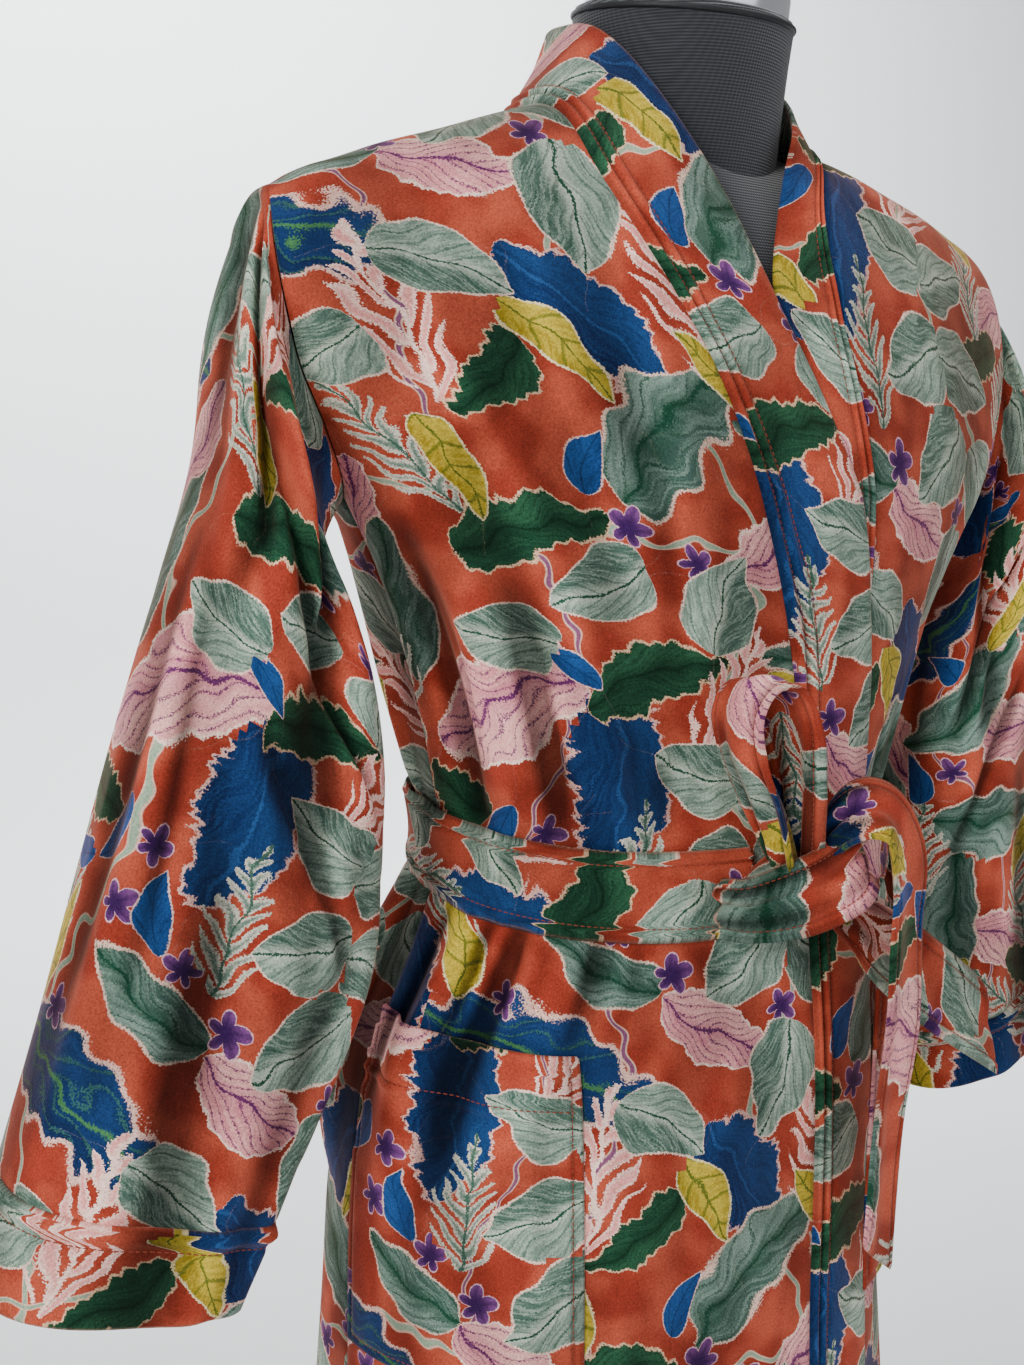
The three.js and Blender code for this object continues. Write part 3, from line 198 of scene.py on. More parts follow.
# Folds of a sleeve: head angle, foot angle, width, height, and the shares it runs between
RIGHT_SLEEVE_FOLDS = (
    (128, 98, 17, -15, 0.06, 0.52), (92, 62, 17, 8, 0.05, 0.5), (158, 140, 16, 8, 0.12, 0.55),
    (150, 128, 12, 6, 0.5, 1), (235, 262, 18, -12, 0.06, 0.55), (280, 300, 18, 7, 0.1, 0.6),
)
LEFT_SLEEVE_FOLDS = (
    (130, 104, 18, -12, 0.06, 0.5), (88, 66, 18, 7, 0.08, 0.55), (232, 258, 18, -12, 0.06, 0.55),
    (284, 300, 18, 7, 0.1, 0.6),
)
SMALL_SLEEVE_FOLDS = (
    (150, 146, 26, 8, 0.22, 0.85), (28, 64, 7, -14, 0.02, 0.34), (44, 136, 8, -13, 0.17, 0.48),
    (50, 104, 10, 9, 0.04, 0.38), (12, 38, 9, 6, 0.03, 0.38), (124, 108, 7, -7, 0.1, 0.36),
    (146, 126, 7, 6, 0.08, 0.4), (96, 140, 7, 6, 0.34, 0.56), (70, 132, 6, -5, 0.44, 0.66),
    (30, 44, 8, -5, 0.36, 0.72), (10, 4, 8, -4, 0.3, 0.8), (74, 88, 9, -4, 0.55, 0.97),
    (96, 104, 10, 4, 0.6, 1), (112, 86, 6, -5, 0.04, 0.36), (143, 120, 6, -4, 0.1, 0.44),
    (76, 52, 7, -3, 0.05, 0.38), (48, 34, 9, 2.5, 0.03, 0.3), (170, 158, 7, -4, 0.22, 0.6),
    (120, 112, 8, 3, 0.36, 0.72), (60, 78, 10, -3, 0.5, 0.86), (30, 22, 10, 3, 0.45, 0.9),
    (196, 206, 8, 4, 0.2, 0.62), (222, 240, 7, -4, 0.12, 0.5), (255, 268, 7, 4, 0.08, 0.42),
    (300, 318, 9, -3, 0.1, 0.5), (332, 326, 10, 3, 0.4, 0.85), (250, 244, 11, -4, 0.55, 0.92),
)
SLEEVE_BLEND = 0.2
BOW = {1: 26.0, -1: 18.0}
BOW_REACH = 0.34
BOW_POWER = 0.7
ARMHOLE_GAP = 0.5


def read(source, key, place, column):
    """A smooth curve through a column of a table, read at places along its key column."""
    keys = source[key]
    values = source[column]
    place = np.asarray(place, float)
    last = len(keys) - 1
    index = np.clip(np.searchsorted(keys, place, side="right") - 1, 0, last - 1)
    before = np.maximum(index - 1, 0)
    after = np.minimum(index + 2, last)
    span = keys[index + 1] - keys[index]
    share = np.clip((place - keys[index]) / span, 0, 1)
    slope_in = (values[index + 1] - values[before]) / (keys[index + 1] - keys[before]) * span
    slope_out = (values[after] - values[index]) / (keys[after] - keys[index]) * span
    cube = share**3
    square = share**2
    return (
        (2 * cube - 3 * square + 1) * values[index]
        + (cube - 2 * square + share) * slope_in
        + (3 * square - 2 * cube) * values[index + 1]
        + (cube - square) * slope_out
    )


def read_point(source, key, place):
    return np.stack([read(source, key, place, axis) for axis in "xyz"], -1)


def smooth(low, high, value):
    share = np.clip((np.asarray(value, float) - low) / (high - low), 0, 1)
    return share * share * (3 - 2 * share)


def hump(value, centre, width):
    """A bell shape of height one about a centre, for ridges, and taken away for grooves."""
    return np.exp(-(((value - centre) / width) ** 2))


def signed_power(value, power):
    return np.sign(value) * np.abs(value) ** power


def unit(vectors):
    length = np.linalg.norm(vectors, axis=-1, keepdims=True)
    return vectors / np.maximum(length, 1e-9)


def rise_of(height):
    return np.maximum((np.asarray(height, float) - ARMPIT) / YOKE_SPAN, 0)


def of_body(column, height):
    return read(BODY, "z", np.minimum(height, ARMPIT), column)


def body_half_width(height):
    rise = np.minimum(rise_of(height), 1)
    return np.where(rise > 0, read(YOKE, "rise", rise, "half_width"), of_body("half_width", height))


def plain_body(side, angle, height):
    """The body without folds; side is 1 in front and -1 behind, and angles run from 0 at the middle."""
    angle, height = np.broadcast_arrays(np.asarray(angle, float), np.asarray(height, float))
    rise = np.minimum(rise_of(height), 1)
    power = of_body("power", height)
    turn = np.sin(np.radians(angle))
    share = signed_power(turn, 2 / power)
    shift = YOKE_SHIFT * smooth(0, 0.3, rise)
    x = of_body("centre_x", height) + shift + body_half_width(height) * share
    fullness = FULLNESS**power * smooth(0, 0.3, rise)
    depth_share = np.maximum(1 - turn**2 * (1 - fullness), 0) ** (1 / power)
    lift = np.sin(rise * math.pi / 2)
    back_power = UPPER_BACK_POWER + (OUTER_BACK_POWER - UPPER_BACK_POWER) * turn**2
    bend = CHEST_POWER if side > 0 else back_power
    depth = of_body("half_depth", height) * depth_share * np.maximum(np.cos(rise * math.pi / 2), 0) ** bend
    centre_y = of_body("centre_y", height) * (1 - rise) + RIDGE_Y * rise
    z = np.minimum(height, ARMPIT) + (read(RIDGE, "x", x, "z") - ARMPIT) * lift
    return np.stack([x, centre_y - side * depth, z], -1)


def fading(away):
    """Full at the middle of a fold, nothing from its ends on."""
    return np.where(away < 1, np.cos(np.minimum(away, 1) * math.pi / 2), 0) ** 0.8


def fold_height(folds, side, angle, height):
    total = np.zeros(np.broadcast(angle, height).shape)
    for fold_side, centre, lean, width, tall, foot, head in folds:
        if fold_side != side:
            continue
        middle = (foot + head) / 2
        reach = (head - foot) / 2
        away = np.abs(height - middle) / reach
        at = centre + lean * (head - height) / (2 * reach)
        offset = (angle - at) / width
        total = total + tall * np.exp(-offset * offset) * fading(away)
    return total


def belt_centre(y):
    return BELT_HEIGHT + BELT_SLOPE * y


def body_point(side, angle, height, out=0.0):
    """The body with its folds, moved outward by a distance."""
    angle, height = np.broadcast_arrays(np.asarray(angle, float), np.asarray(height, float))
    bounded = np.clip(angle, -89.6, 89.6)
    near = np.clip(height, HEM + 1.5, SHOULDER - 1.5)
    across = plain_body(side, bounded + 0.4, near) - plain_body(side, bounded - 0.4, near)
    along = plain_body(side, bounded, near + 1.5) - plain_body(side, bounded, near - 1.5)
    normal = unit(np.cross(across, along)) * side
    place = plain_body(side, angle, height)
    fold = fold_height(BODY_FOLDS, side, angle, height)
    fold = fold + fold_height(SMALL_FOLDS, side, angle, height)
    ripple = 0.7 * np.sin(height / 41 + angle / 9) * np.sin(angle / 5.3 + height / 97)
    press = 1 - np.exp(-(((height - belt_centre(place[..., 1])) / (BELT_WIDTH * 0.6)) ** 4))
    edge = np.clip((90 - np.abs(angle)) / 4, 0, 1)
    lift = np.asarray(out) + (fold + ripple) * press * edge
    return place + normal * lift[..., None]


def angle_at(x, height):
    """The angle on the front at which the body reaches a given x."""
    centre = of_body("centre_x", height) + YOKE_SHIFT * smooth(0, 0.3, np.minimum(rise_of(height), 1))
    share = np.clip((x - centre) / body_half_width(height), -1, 1)
    return np.degrees(np.arcsin(signed_power(share, of_body("power", height) / 2)))


def edge_angle(height, column):
    z = np.array(height, float)
    x = z * 0
    for _ in range(12):
        x = read(EDGES, "z", z, column)
        z = z + 0.6 * (plain_body(1, angle_at(x, height), height)[..., 2] - z)
    return angle_at(x, height)


def underlap(angle, height):
    return -OVERLAP_DROP * (1 - smooth(44, 66, angle)) * (1 - smooth(0.4, 0.85, rise_of(height)))


# Painted shade of the folds: blur reach, darkening per millimetre of hollow, and the darkest and lightest
# factors
HOLLOW_REACH = 5
HOLLOW_GAIN = 0.34
HOLLOW_LOW = 0.25
HOLLOW_HIGH = 1.28


def offset_grid(grid, distance, closed=False):
    """A grid moved against its own normals by a distance."""
    if closed:
        ahead = np.roll(grid, -1, 1)
        behind = np.roll(grid, 1, 1)
    else:
        ahead = np.concatenate([grid[:, 1:], grid[:, -1:]], 1)
        behind = np.concatenate([grid[:, :1], grid[:, :-1]], 1)
    above = np.concatenate([grid[1:], grid[-1:]], 0)
    below = np.concatenate([grid[:1], grid[:-1]], 0)
    normal = unit(np.cross(ahead - behind, above - below))
    return grid - normal * distance


def arc(points, axis):
    steps = np.linalg.norm(np.diff(points, axis=axis), axis=-1)
    zero = np.zeros_like(np.take(steps, [0], axis))
    return np.concatenate([zero, np.cumsum(steps, axis)], axis)


def build_mesh(name, points, faces, loop_uv, material):
    mesh = bpy.data.meshes.new(name)
    mesh.from_pydata(points.reshape(-1, 3) / 1000, [], faces)
    if loop_uv is not None:
        layer = mesh.uv_layers.new(name="cloth")
        layer.data.foreach_set("uv", np.asarray(loop_uv, np.float32).ravel())
    mesh.polygons.foreach_set("use_smooth", np.ones(len(mesh.polygons), bool))
    mesh.materials.append(material)
    if material.name == "velvet":
        place_print(mesh, loop_uv)
    mesh.update()
    piece = bpy.data.objects.new(name, mesh)
    bpy.context.scene.collection.objects.link(piece)
    return piece


def blurred(values, reach, closed, passes=2):
    """Values on a grid, averaged with their neighbours along each row."""
    for _ in range(passes):
        total = values.copy()
        for step in range(1, reach + 1):
            for way in (-step, step):
                if closed:
                    total = total + np.roll(values, way, 1)
                else:
                    index = np.clip(np.arange(values.shape[1]) + way, 0, values.shape[1] - 1)
                    total = total + values[:, index]
        values = total / (2 * reach + 1)
    return values


def pile_shade(outer, inner, closed):
    """Painted shade of the folds: below one in their hollows, which darkens them, and above one on their
    ridges, which lightens them.
    """
    outward = unit(outer - inner)
    depth = np.einsum("ijk,ijk->ij", blurred(outer, HOLLOW_REACH, closed) - outer, outward)
    depth = depth - blurred(depth[..., None], 3 * HOLLOW_REACH, closed)[..., 0]
    return np.clip(1 - HOLLOW_GAIN * depth, HOLLOW_LOW, HOLLOW_HIGH)


def set_painted_fold_shade(piece, shade):
    # Stores the painted shade as a point attribute that the velvet's colour is multiplied by
    data = piece.data.attributes.new("pile_shade", "FLOAT", "POINT").data
    data.foreach_set("value", np.asarray(shade, np.float32))


def cloth_wall(name, outer, inner, flat, material, closed=False, round_edge=0.45):
    """A closed cloth wall between two grids, its raw edges rounded; flat holds metres on the cloth."""
    rows, columns = outer.shape[:2]
    middle = (outer + inner) / 2
    thick = np.linalg.norm(outer - inner, axis=-1).mean()
    points = [outer.reshape(-1, 3), inner.reshape(-1, 3)]
    count = rows * columns
    faces = []
    uvs = []
    spans = columns if closed else columns - 1
    row, column = np.meshgrid(np.arange(rows - 1), np.arange(spans), indexing="ij")
    row = row.ravel()
    column = column.ravel()
    after = (column + 1) % columns
    corner = [row * columns + column, row * columns + after]
    corner += [(row + 1) * columns + after, (row + 1) * columns + column]
    quads = np.stack(corner, 1)
    uv_quads = np.stack(
        [flat[row, column], flat[row, column + 1], flat[row + 1, column + 1], flat[row + 1, column]], 1
    )
    faces.append(quads)
    uvs.append(uv_quads)
    faces.append(quads[:, ::-1] + count)
    uvs.append(uv_quads[:, ::-1])
    total = 2 * count

    ends = []

    def rim(line, neighbour, uv_line, loop):
        """A rounded rim along one edge: line and neighbour hold indices of the edge and the next row."""
        nonlocal total
        top = points[0][line]
        low = points[1][line]
        away = unit((top + low) / 2 - middle.reshape(-1, 3)[neighbour])
        bulge = (top + low) / 2 + away * thick * round_edge
        points.append(bulge)
        size = len(line)
        here = np.arange(size if loop else size - 1)
        there = (here + 1) % size
        mid = total + np.arange(size)
        faces.append(np.stack([line[here], line[there], mid[there], mid[here]], 1))
        faces.append(np.stack([mid[here], mid[there], line[there] + count, line[here] + count], 1))
        pair = np.stack([uv_line[here], uv_line[here + 1], uv_line[here + 1], uv_line[here]], 1)
        uvs.append(pair)
        uvs.append(pair)
        ends.append((mid[0], mid[-1], line[0], uv_line[0]))
        total += size

    index = np.arange(count).reshape(rows, columns)
    rim(index[0][::-1], index[1][::-1], flat[0][::-1], closed)
    if not closed:
        rim(index[:, 0], index[:, 1], flat[:, 0], False)
    rim(index[-1], index[-2], flat[-1], closed)
    if not closed:
        rim(index[::-1, -1], index[::-1, -2], flat[::-1, -1], False)
        for before, here in zip(ends[-1:] + ends[:-1], ends):
            first_mid, _, top, uv_corner = here
            faces.append(np.array([[before[1], top, first_mid, top + count]]))
            uvs.append(np.array([[uv_corner] * 4]))
    quads = np.concatenate(faces)
    loop_uv = np.concatenate(uvs)
    piece = build_mesh(name, np.concatenate(points), quads.tolist(), loop_uv, material)
    # Painted shade on both faces of the cloth: darker in the hollows of the folds, lighter on their ridges
    shade = np.ones(total)
    shade[: 2 * count] = np.tile(pile_shade(outer, inner, closed).ravel(), 2)
    set_painted_fold_shade(piece, shade)
    orient(piece)
    return piece


def orient(piece):
    """Turns the faces outward, by the sign of the volume."""
    mesh = piece.data
    co = np.empty(len(mesh.vertices) * 3)
    mesh.vertices.foreach_get("co", co)
    co = co.reshape(-1, 3)
    first = np.array([[mesh.loops[p.loop_start + k].vertex_index for k in (0, 1, 2)] for p in mesh.polygons])
    a, b, c = co[first[:, 0]], co[first[:, 1]], co[first[:, 2]]
    if np.einsum("ij,ij->i", a, np.cross(b, c)).sum() < 0:
        mesh.flip_normals()


def flat_map(grid, origin, across_from=0, along_from=0):
    """Metres on the flat cloth for each point of a grid, across its columns and along its rows."""
    across = arc(grid, 1) / 1000
    across = across - across[:, across_from : across_from + 1]
    along = arc(grid, 0) / 1000
    along = along[:, along_from : along_from + 1] * np.ones_like(across)
    return np.stack([origin[0] + across, origin[1] + along], -1)


def own(piece, node=None):
    """Every piece rides on the root and may stand for a node of the model, which it hides."""
    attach(piece, "root")
    if node:
        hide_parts(node)


def declare(piece, node):
    own(piece, node)


def stitches(name, line, out):
    """A row of small thread stitches along a line of points, each half sunk in the cloth."""
    run = np.concatenate([[0], np.cumsum(np.linalg.norm(np.diff(line, axis=0), axis=1))])
    count = int(run[-1] / STITCH_PITCH)
    at = (np.arange(count) + 0.5) * run[-1] / count

    def sample(values, place):
        return np.stack([np.interp(place, run, values[:, k]) for k in range(3)], -1)

    centre = sample(line, at)
    ahead = unit(sample(line, at + 0.8) - sample(line, at - 0.8))
    up = unit(sample(out, at))
    side = unit(np.cross(ahead, up))
    turn = np.linspace(0, 2 * math.pi, STITCH_SIDES, endpoint=False)
    spoke = side[:, None] * np.cos(turn)[None, :, None] + up[:, None] * np.sin(turn)[None, :, None] * 0.8
    rings = []
    for place in (-0.32, 0.32):
        middle = centre + ahead * STITCH_LENGTH * place + up * STITCH_RADIUS * 0.35
        rings.append(middle[:, None] + spoke * STITCH_RADIUS)
    tips = [(centre + ahead * STITCH_LENGTH * place)[:, None] for place in (-0.5, 0.5)]
    points = np.concatenate(rings + tips, 1)
    faces = []
    sides = STITCH_SIDES
    size = 2 * sides + len(tips)
    for first in range(0, count * size, size):
        second = first + sides
        for k in range(sides):
            after = (k + 1) % sides
            faces.append([first + k, first + after, second + after, second + k])
            faces.append([first + after, first + k, first + 2 * sides])
            faces.append([second + k, second + after, first + 2 * sides + 1])
    piece = build_mesh(name, points, faces, None, thread())
    orient_mixed(piece)
    own(piece)


def edged(width, inner_steps):
    """Shares across a strip, close together near both edges where the stitching runs."""
    near = np.array([0, 0.7, 1.5, 2.3, 3.1, 3.8, 4.5, 5.4, 6.6, 8.2]) / width
    inside = np.linspace(10.5 / width, 1 - 10.5 / width, inner_steps)
    return np.concatenate([near, inside, 1 - near[::-1]])


def heights(step, stop=SHOULDER, yoke_spans=44):
    low = np.linspace(HEM, ARMPIT, int((ARMPIT - HEM) / step) + 1)
    high = np.linspace(ARMPIT, stop, yoke_spans + 1)[1:]
    return np.concatenate([low, high])


STEP = 7.0
SLEEVE_END = 0.912
CUFF_START = 0.9126
STITCH_PITCH = 3.4
STITCH_LENGTH = 2.7
STITCH_RADIUS = 0.34
STITCH_SIDES = 6
SLEEVE_SPANS = 104
RELAX_PASSES = 14
RELAX_REACH = 7
NECK_ANGLE = float(angle_at(NECK_CORNER + YOKE_SHIFT, np.array(SHOULDER)))


def back_top_rise(angle):
    x = plain_body(-1, angle, SHOULDER)[..., 0] - YOKE_SHIFT
    share = np.minimum(np.abs(x) / NECK_CORNER, 1)
    reach = NECK_REACH * np.sqrt(1 - np.minimum(share, 0.999) ** 2)
    depth = read(BODY, "z", ARMPIT, "half_depth")
    power = UPPER_BACK_POWER + (OUTER_BACK_POWER - UPPER_BACK_POWER) * np.sin(np.radians(angle)) ** 2
    rise = np.arccos(np.clip((reach / depth) ** (1 / power), 0, 1)) / (math.pi / 2)
    return np.where(share >= 0.999, 1, rise)


def back_height(angle, height):
    return np.where(height <= ARMPIT, height, ARMPIT + YOKE_SPAN * rise_of(height) * back_top_rise(angle))


def panel(side, angles, rows, lift):
    point = body_point(side, angles, rows, lift)
    point[..., 1] -= side * SEAM
    return point


def columns_between(first, last, count):
    share = np.linspace(0, 1, count + 1)
    return first[:, None] + (last - first)[:, None] * share[None, :]


def body_back(material):
    rows = heights(STEP)
    inner_half = np.linspace(0, NECK_ANGLE, 19)
    outer_half = np.linspace(NECK_ANGLE, 90, 44)[1:]
    half = np.concatenate([inner_half, outer_half])
    angles = np.concatenate([-half[::-1], half[1:]])[None, :] * np.ones((len(rows), 1))
    place = back_height(angles, rows[:, None])
    outer = panel(-1, angles, place, 0)
    inner = panel(-1, angles, place, -CLOTH)
    flat = flat_map(outer, (0.09, 0.02), across_from=len(half) - 1, along_from=20)
    piece = cloth_wall("robe_back", outer, inner, flat, material)
    declare(piece, "back")


def body_front(name, node, material, right):
    rows = heights(STEP)
    seam = edge_angle(rows, "right_seam" if right else "left_seam")
    if right:
        angles = columns_between(rows * 0 - 90, seam - 0.18, 84)
    else:
        angles = columns_between(seam + 0.18, rows * 0 + 90, 66)
    lift = 0 if right else underlap(angles, rows[:, None])
    outer = panel(1, angles, rows[:, None], lift)
    inner = panel(1, angles, rows[:, None], lift - CLOTH)
    near_seam = -1 if right else 0
    origin = (0.245, 0.02) if right else (0.13, 0.21)
    flat = flat_map(outer, origin, across_from=near_seam % outer.shape[1], along_from=outer.shape[1] // 2)
    piece = cloth_wall(name, outer, inner, flat, material)
    declare(piece, node)
    return outer, flat


BAND_WIDTH = 58
BAND_STEPS = (0, 1, 2, 3.1, 4.2, 5.2, 6.2, 7.3, 8.5, 9.7, 10.9, 12, 13.2, 15, 19, 25, 31, 38, 45, 51, 55, 58)
BAND_SHARES = np.array(BAND_STEPS) / BAND_WIDTH


def band_profile(share):
    """Height of the neckband above its smooth face: two stitched ridges beside the seam, a soft roll."""
    from_seam = share * BAND_WIDTH
    first = 1.9 * hump(from_seam, 3.1, 1.7)
    second = 1.6 * hump(from_seam, 9.7, 1.8)
    between = 0.9 * hump(from_seam, 6.3, 1.2) + 0.6 * hump(from_seam, 13, 1.3)
    return first + second - between + 1.3 * np.sin(math.pi * share)


def band_front(rows, right):
    rise = rise_of(rows)
    side = "right" if right else "left"
    mirror = 1 if right else -1
    seam = edge_angle(rows, side + "_seam") + mirror * 0.18
    fold = edge_angle(rows, side + "_fold")
    angles = seam[:, None] + (fold - seam)[:, None] * BAND_SHARES
    lift = 0 if right else underlap(angles, rows[:, None])
    share = BAND_SHARES
    on_body = body_point(1, angles, rows[:, None], lift + BAND_PROUD)
    free = smooth(0.25, 0.45, rise)[:, None, None]
    edge = read_point(RIGHT_FOLD if right else LEFT_FOLD, "rise", rise)
    start = on_body[:, :1]
    straight = start + (edge[:, None] - start) * share[None, :, None]
    return on_body + (straight - on_body) * free


def neck_band(material):
    rows = np.minimum(heights(STEP, yoke_spans=48), ARMPIT + YOKE_SPAN * 0.985)
    right = band_front(rows, True)
    left = band_front(rows, False)[::-1]
    angles = np.linspace(-NECK_ANGLE, NECK_ANGLE, 42)[1:-1]
    base = body_point(-1, angles, back_height(angles, np.full(angles.shape, SHOULDER)))
    edge = read_point(BEHIND_NECK, "share", angles / NECK_ANGLE)
    start = base + unit(edge - base) * 1.2
    share = BAND_SHARES
    behind = start[:, None] + (edge - start)[:, None] * share[None, :, None]
    middle = np.concatenate([right, behind, left])
    middle = relax(middle, len(right), len(behind))
    outer = offset_grid(middle, -1)
    raise_by = band_profile(share)[None, :, None]
    outward = outer - middle
    outer = middle + outward * raise_by
    inner = middle - outward * BAND
    flat = flat_map(middle, (0.02, 0.3), along_from=len(BAND_SHARES) // 2)
    piece = cloth_wall("robe_neckband", outer, inner, flat, material, round_edge=0.6)
    declare(piece, "neckband")
    stitches("neckband_stitches", outer[:, 6], outward[:, 6])
    stitches("neckband_edge_stitches", outer[:, 12], outward[:, 12])


def relax(grid, first, count):
    """Softens the corners where the band turns over the shoulders to behind the neck."""
    grid = grid.copy()
    for _ in range(RELAX_PASSES):
        for at in (first, first + count):
            low, high = at - RELAX_REACH, at + RELAX_REACH
            middle = (grid[low - 1 : high - 1] + grid[low + 1 : high + 1]) / 2
            reach = 1 - np.abs(np.arange(low, high) - at + 0.5) / (RELAX_REACH + 0.5)
            weight = (0.5 * reach)[:, None, None] * np.linspace(0.25, 1, grid.shape[1])[None, :, None]
            grid[low:high] += (middle - grid[low:high]) * weight
    return grid


def armhole_edge(mirror, turn, out):
    turn = np.asarray(turn, float)
    rise = np.where(turn <= 180, 1 - turn / 180, (turn - 180) / 180)
    height = ARMPIT + YOKE_SPAN * rise
    front = body_point(1, -90 * mirror + 0 * turn, height, out)
    back = body_point(-1, -90 * mirror + 0 * turn, height, out)
    edge = np.where((turn <= 180)[..., None], front, back)
    edge[..., 0] -= mirror * ARMHOLE_GAP
    root = np.sqrt(np.abs(np.sin(np.radians(turn))))
    edge[..., 1] += np.sign(180 - turn) * ARMHOLE_GAP * 2 * root
    return edge


def tube_point(rings, folds, mirror, turn, share):
    """The sleeve's tube with its folds, at a turn round it and a share of its length."""
    turn, share = np.broadcast_arrays(np.asarray(turn, float), np.asarray(share, float))

    def ring(column):
        return read(rings, "place", share, column)

    outer = np.stack([ring("outer_x"), ring("centre_y"), ring("outer_z")], -1)
    inner = np.stack([ring("inner_x"), ring("centre_y"), ring("inner_z")], -1)
    centre = (outer + inner) / 2
    half = outer - centre
    push = np.zeros(turn.shape)
    for head_angle, foot_angle, width, tall, start, stop in folds:
        middle = (start + stop) / 2
        reach = (stop - start) / 2
        away = np.abs(share - middle) / reach
        open_end = (stop == 1) & (share > middle)
        at = head_angle + (foot_angle - head_angle) * (share - start) / (2 * reach)
        offset = (turn - at) / width
        fade = np.where(open_end, 1, fading(away))
        push = push + tall * np.exp(-offset * offset) * fade
    power = 2 / ring("power")
    along = signed_power(np.cos(np.radians(turn)), power)
    out = signed_power(np.sin(np.radians(turn)), power)
    depth = np.stack([0 * share, -ring("half_depth"), 0 * share], -1)
    spoke = half * along[..., None] + depth * out[..., None]
    point = centre + spoke + unit(spoke) * push[..., None]
    bow = BOW[mirror] * np.abs(np.sin(np.radians(turn))) ** BOW_POWER * (1 - smooth(0, BOW_REACH, share))
    point[..., 0] -= mirror * bow
    return point


def sleeve_point(rings, folds, mirror, turn, share):
    """The tube, drawn to the armhole's edge where it starts."""
    point = tube_point(rings, folds, mirror, turn, share)
    pull = armhole_edge(mirror, turn, 0) - tube_point(rings, folds, mirror, turn, 0)
    return point + pull * (1 - smooth(0, SLEEVE_BLEND, share))[..., None]


def sleeve_stretch(tube, shares, proud):
    """Outer and inner grids of a stretch of sleeve, the outer one closed up for its map, and its normals."""
    turns = (np.arange(SLEEVE_SPANS) / SLEEVE_SPANS * 360 + 180) % 360
    middle = sleeve_point(*tube, turns[None, :], shares[:, None])
    normal = (offset_grid(middle, -1, True) - middle) * -tube[-1]
    outer = middle + normal * proud[:, None, None]
    looped = np.concatenate([outer, outer[:, :1]], 1)
    return outer, middle - normal * CLOTH, looped, normal


def sleeve(name, node, cuff_name, cuff_node, rings, folds, mirror, origin, material):
    tube = (rings, folds + SMALL_SLEEVE_FOLDS, mirror)
    shares = np.concatenate([[0, 0.012], np.linspace(0.03, SLEEVE_END, 84)])
    head = 1.5 * hump(shares, 0.008, 0.006) - 1.2 * hump(shares, SLEEVE_END, 0.006)
    outer, inner, looped, normal = sleeve_stretch(tube, shares, head)
    flat = flat_map(looped, origin, along_from=SLEEVE_SPANS // 2)
    flat[..., 1] = origin[1] + flat[..., 1].max() - flat[..., 1]
    piece = cloth_wall(name, outer, inner, flat, material, closed=True)
    declare(piece, node)
    shares = np.linspace(CUFF_START, 1, 34)
    place = (shares - shares[0]) / (1 - shares[0])
    tuck = 1.0 + 2.6 * hump(place, 0.08, 0.07) - 0.9 * hump(place, 0.22, 0.05)
    outer, inner, looped, normal = sleeve_stretch(tube, shares, tuck)
    cuff_flat = flat_map(looped, (origin[0], origin[1] - 0.052), along_from=SLEEVE_SPANS // 2)
    cuff_flat[..., 1] = origin[1] - 0.004 - (cuff_flat[..., 1] - cuff_flat[..., 1].min())
    piece = cloth_wall(cuff_name, outer, inner, cuff_flat, material, closed=True, round_edge=0.6)
    declare(piece, cuff_node)
    stitches(cuff_name + "_stitches", looped[7], np.concatenate([normal, normal[:, :1]], 1)[7])


def pocket_span(height, start):
    """Degrees round the front that a pocket's width takes from its inner edge."""
    steps = np.arange(0, 85)
    angles = np.maximum(start - steps, -89.9)
    points = plain_body(1, angles, np.full(angles.shape, height))
    run = np.concatenate([[0], np.cumsum(np.linalg.norm(np.diff(points, axis=0), axis=1))])
    limit = np.argmax(angles <= -89.9) if (angles <= -89.9).any() else len(steps)
    return float(np.interp(POCKET_WIDTH, run[:limit], steps[:limit]))


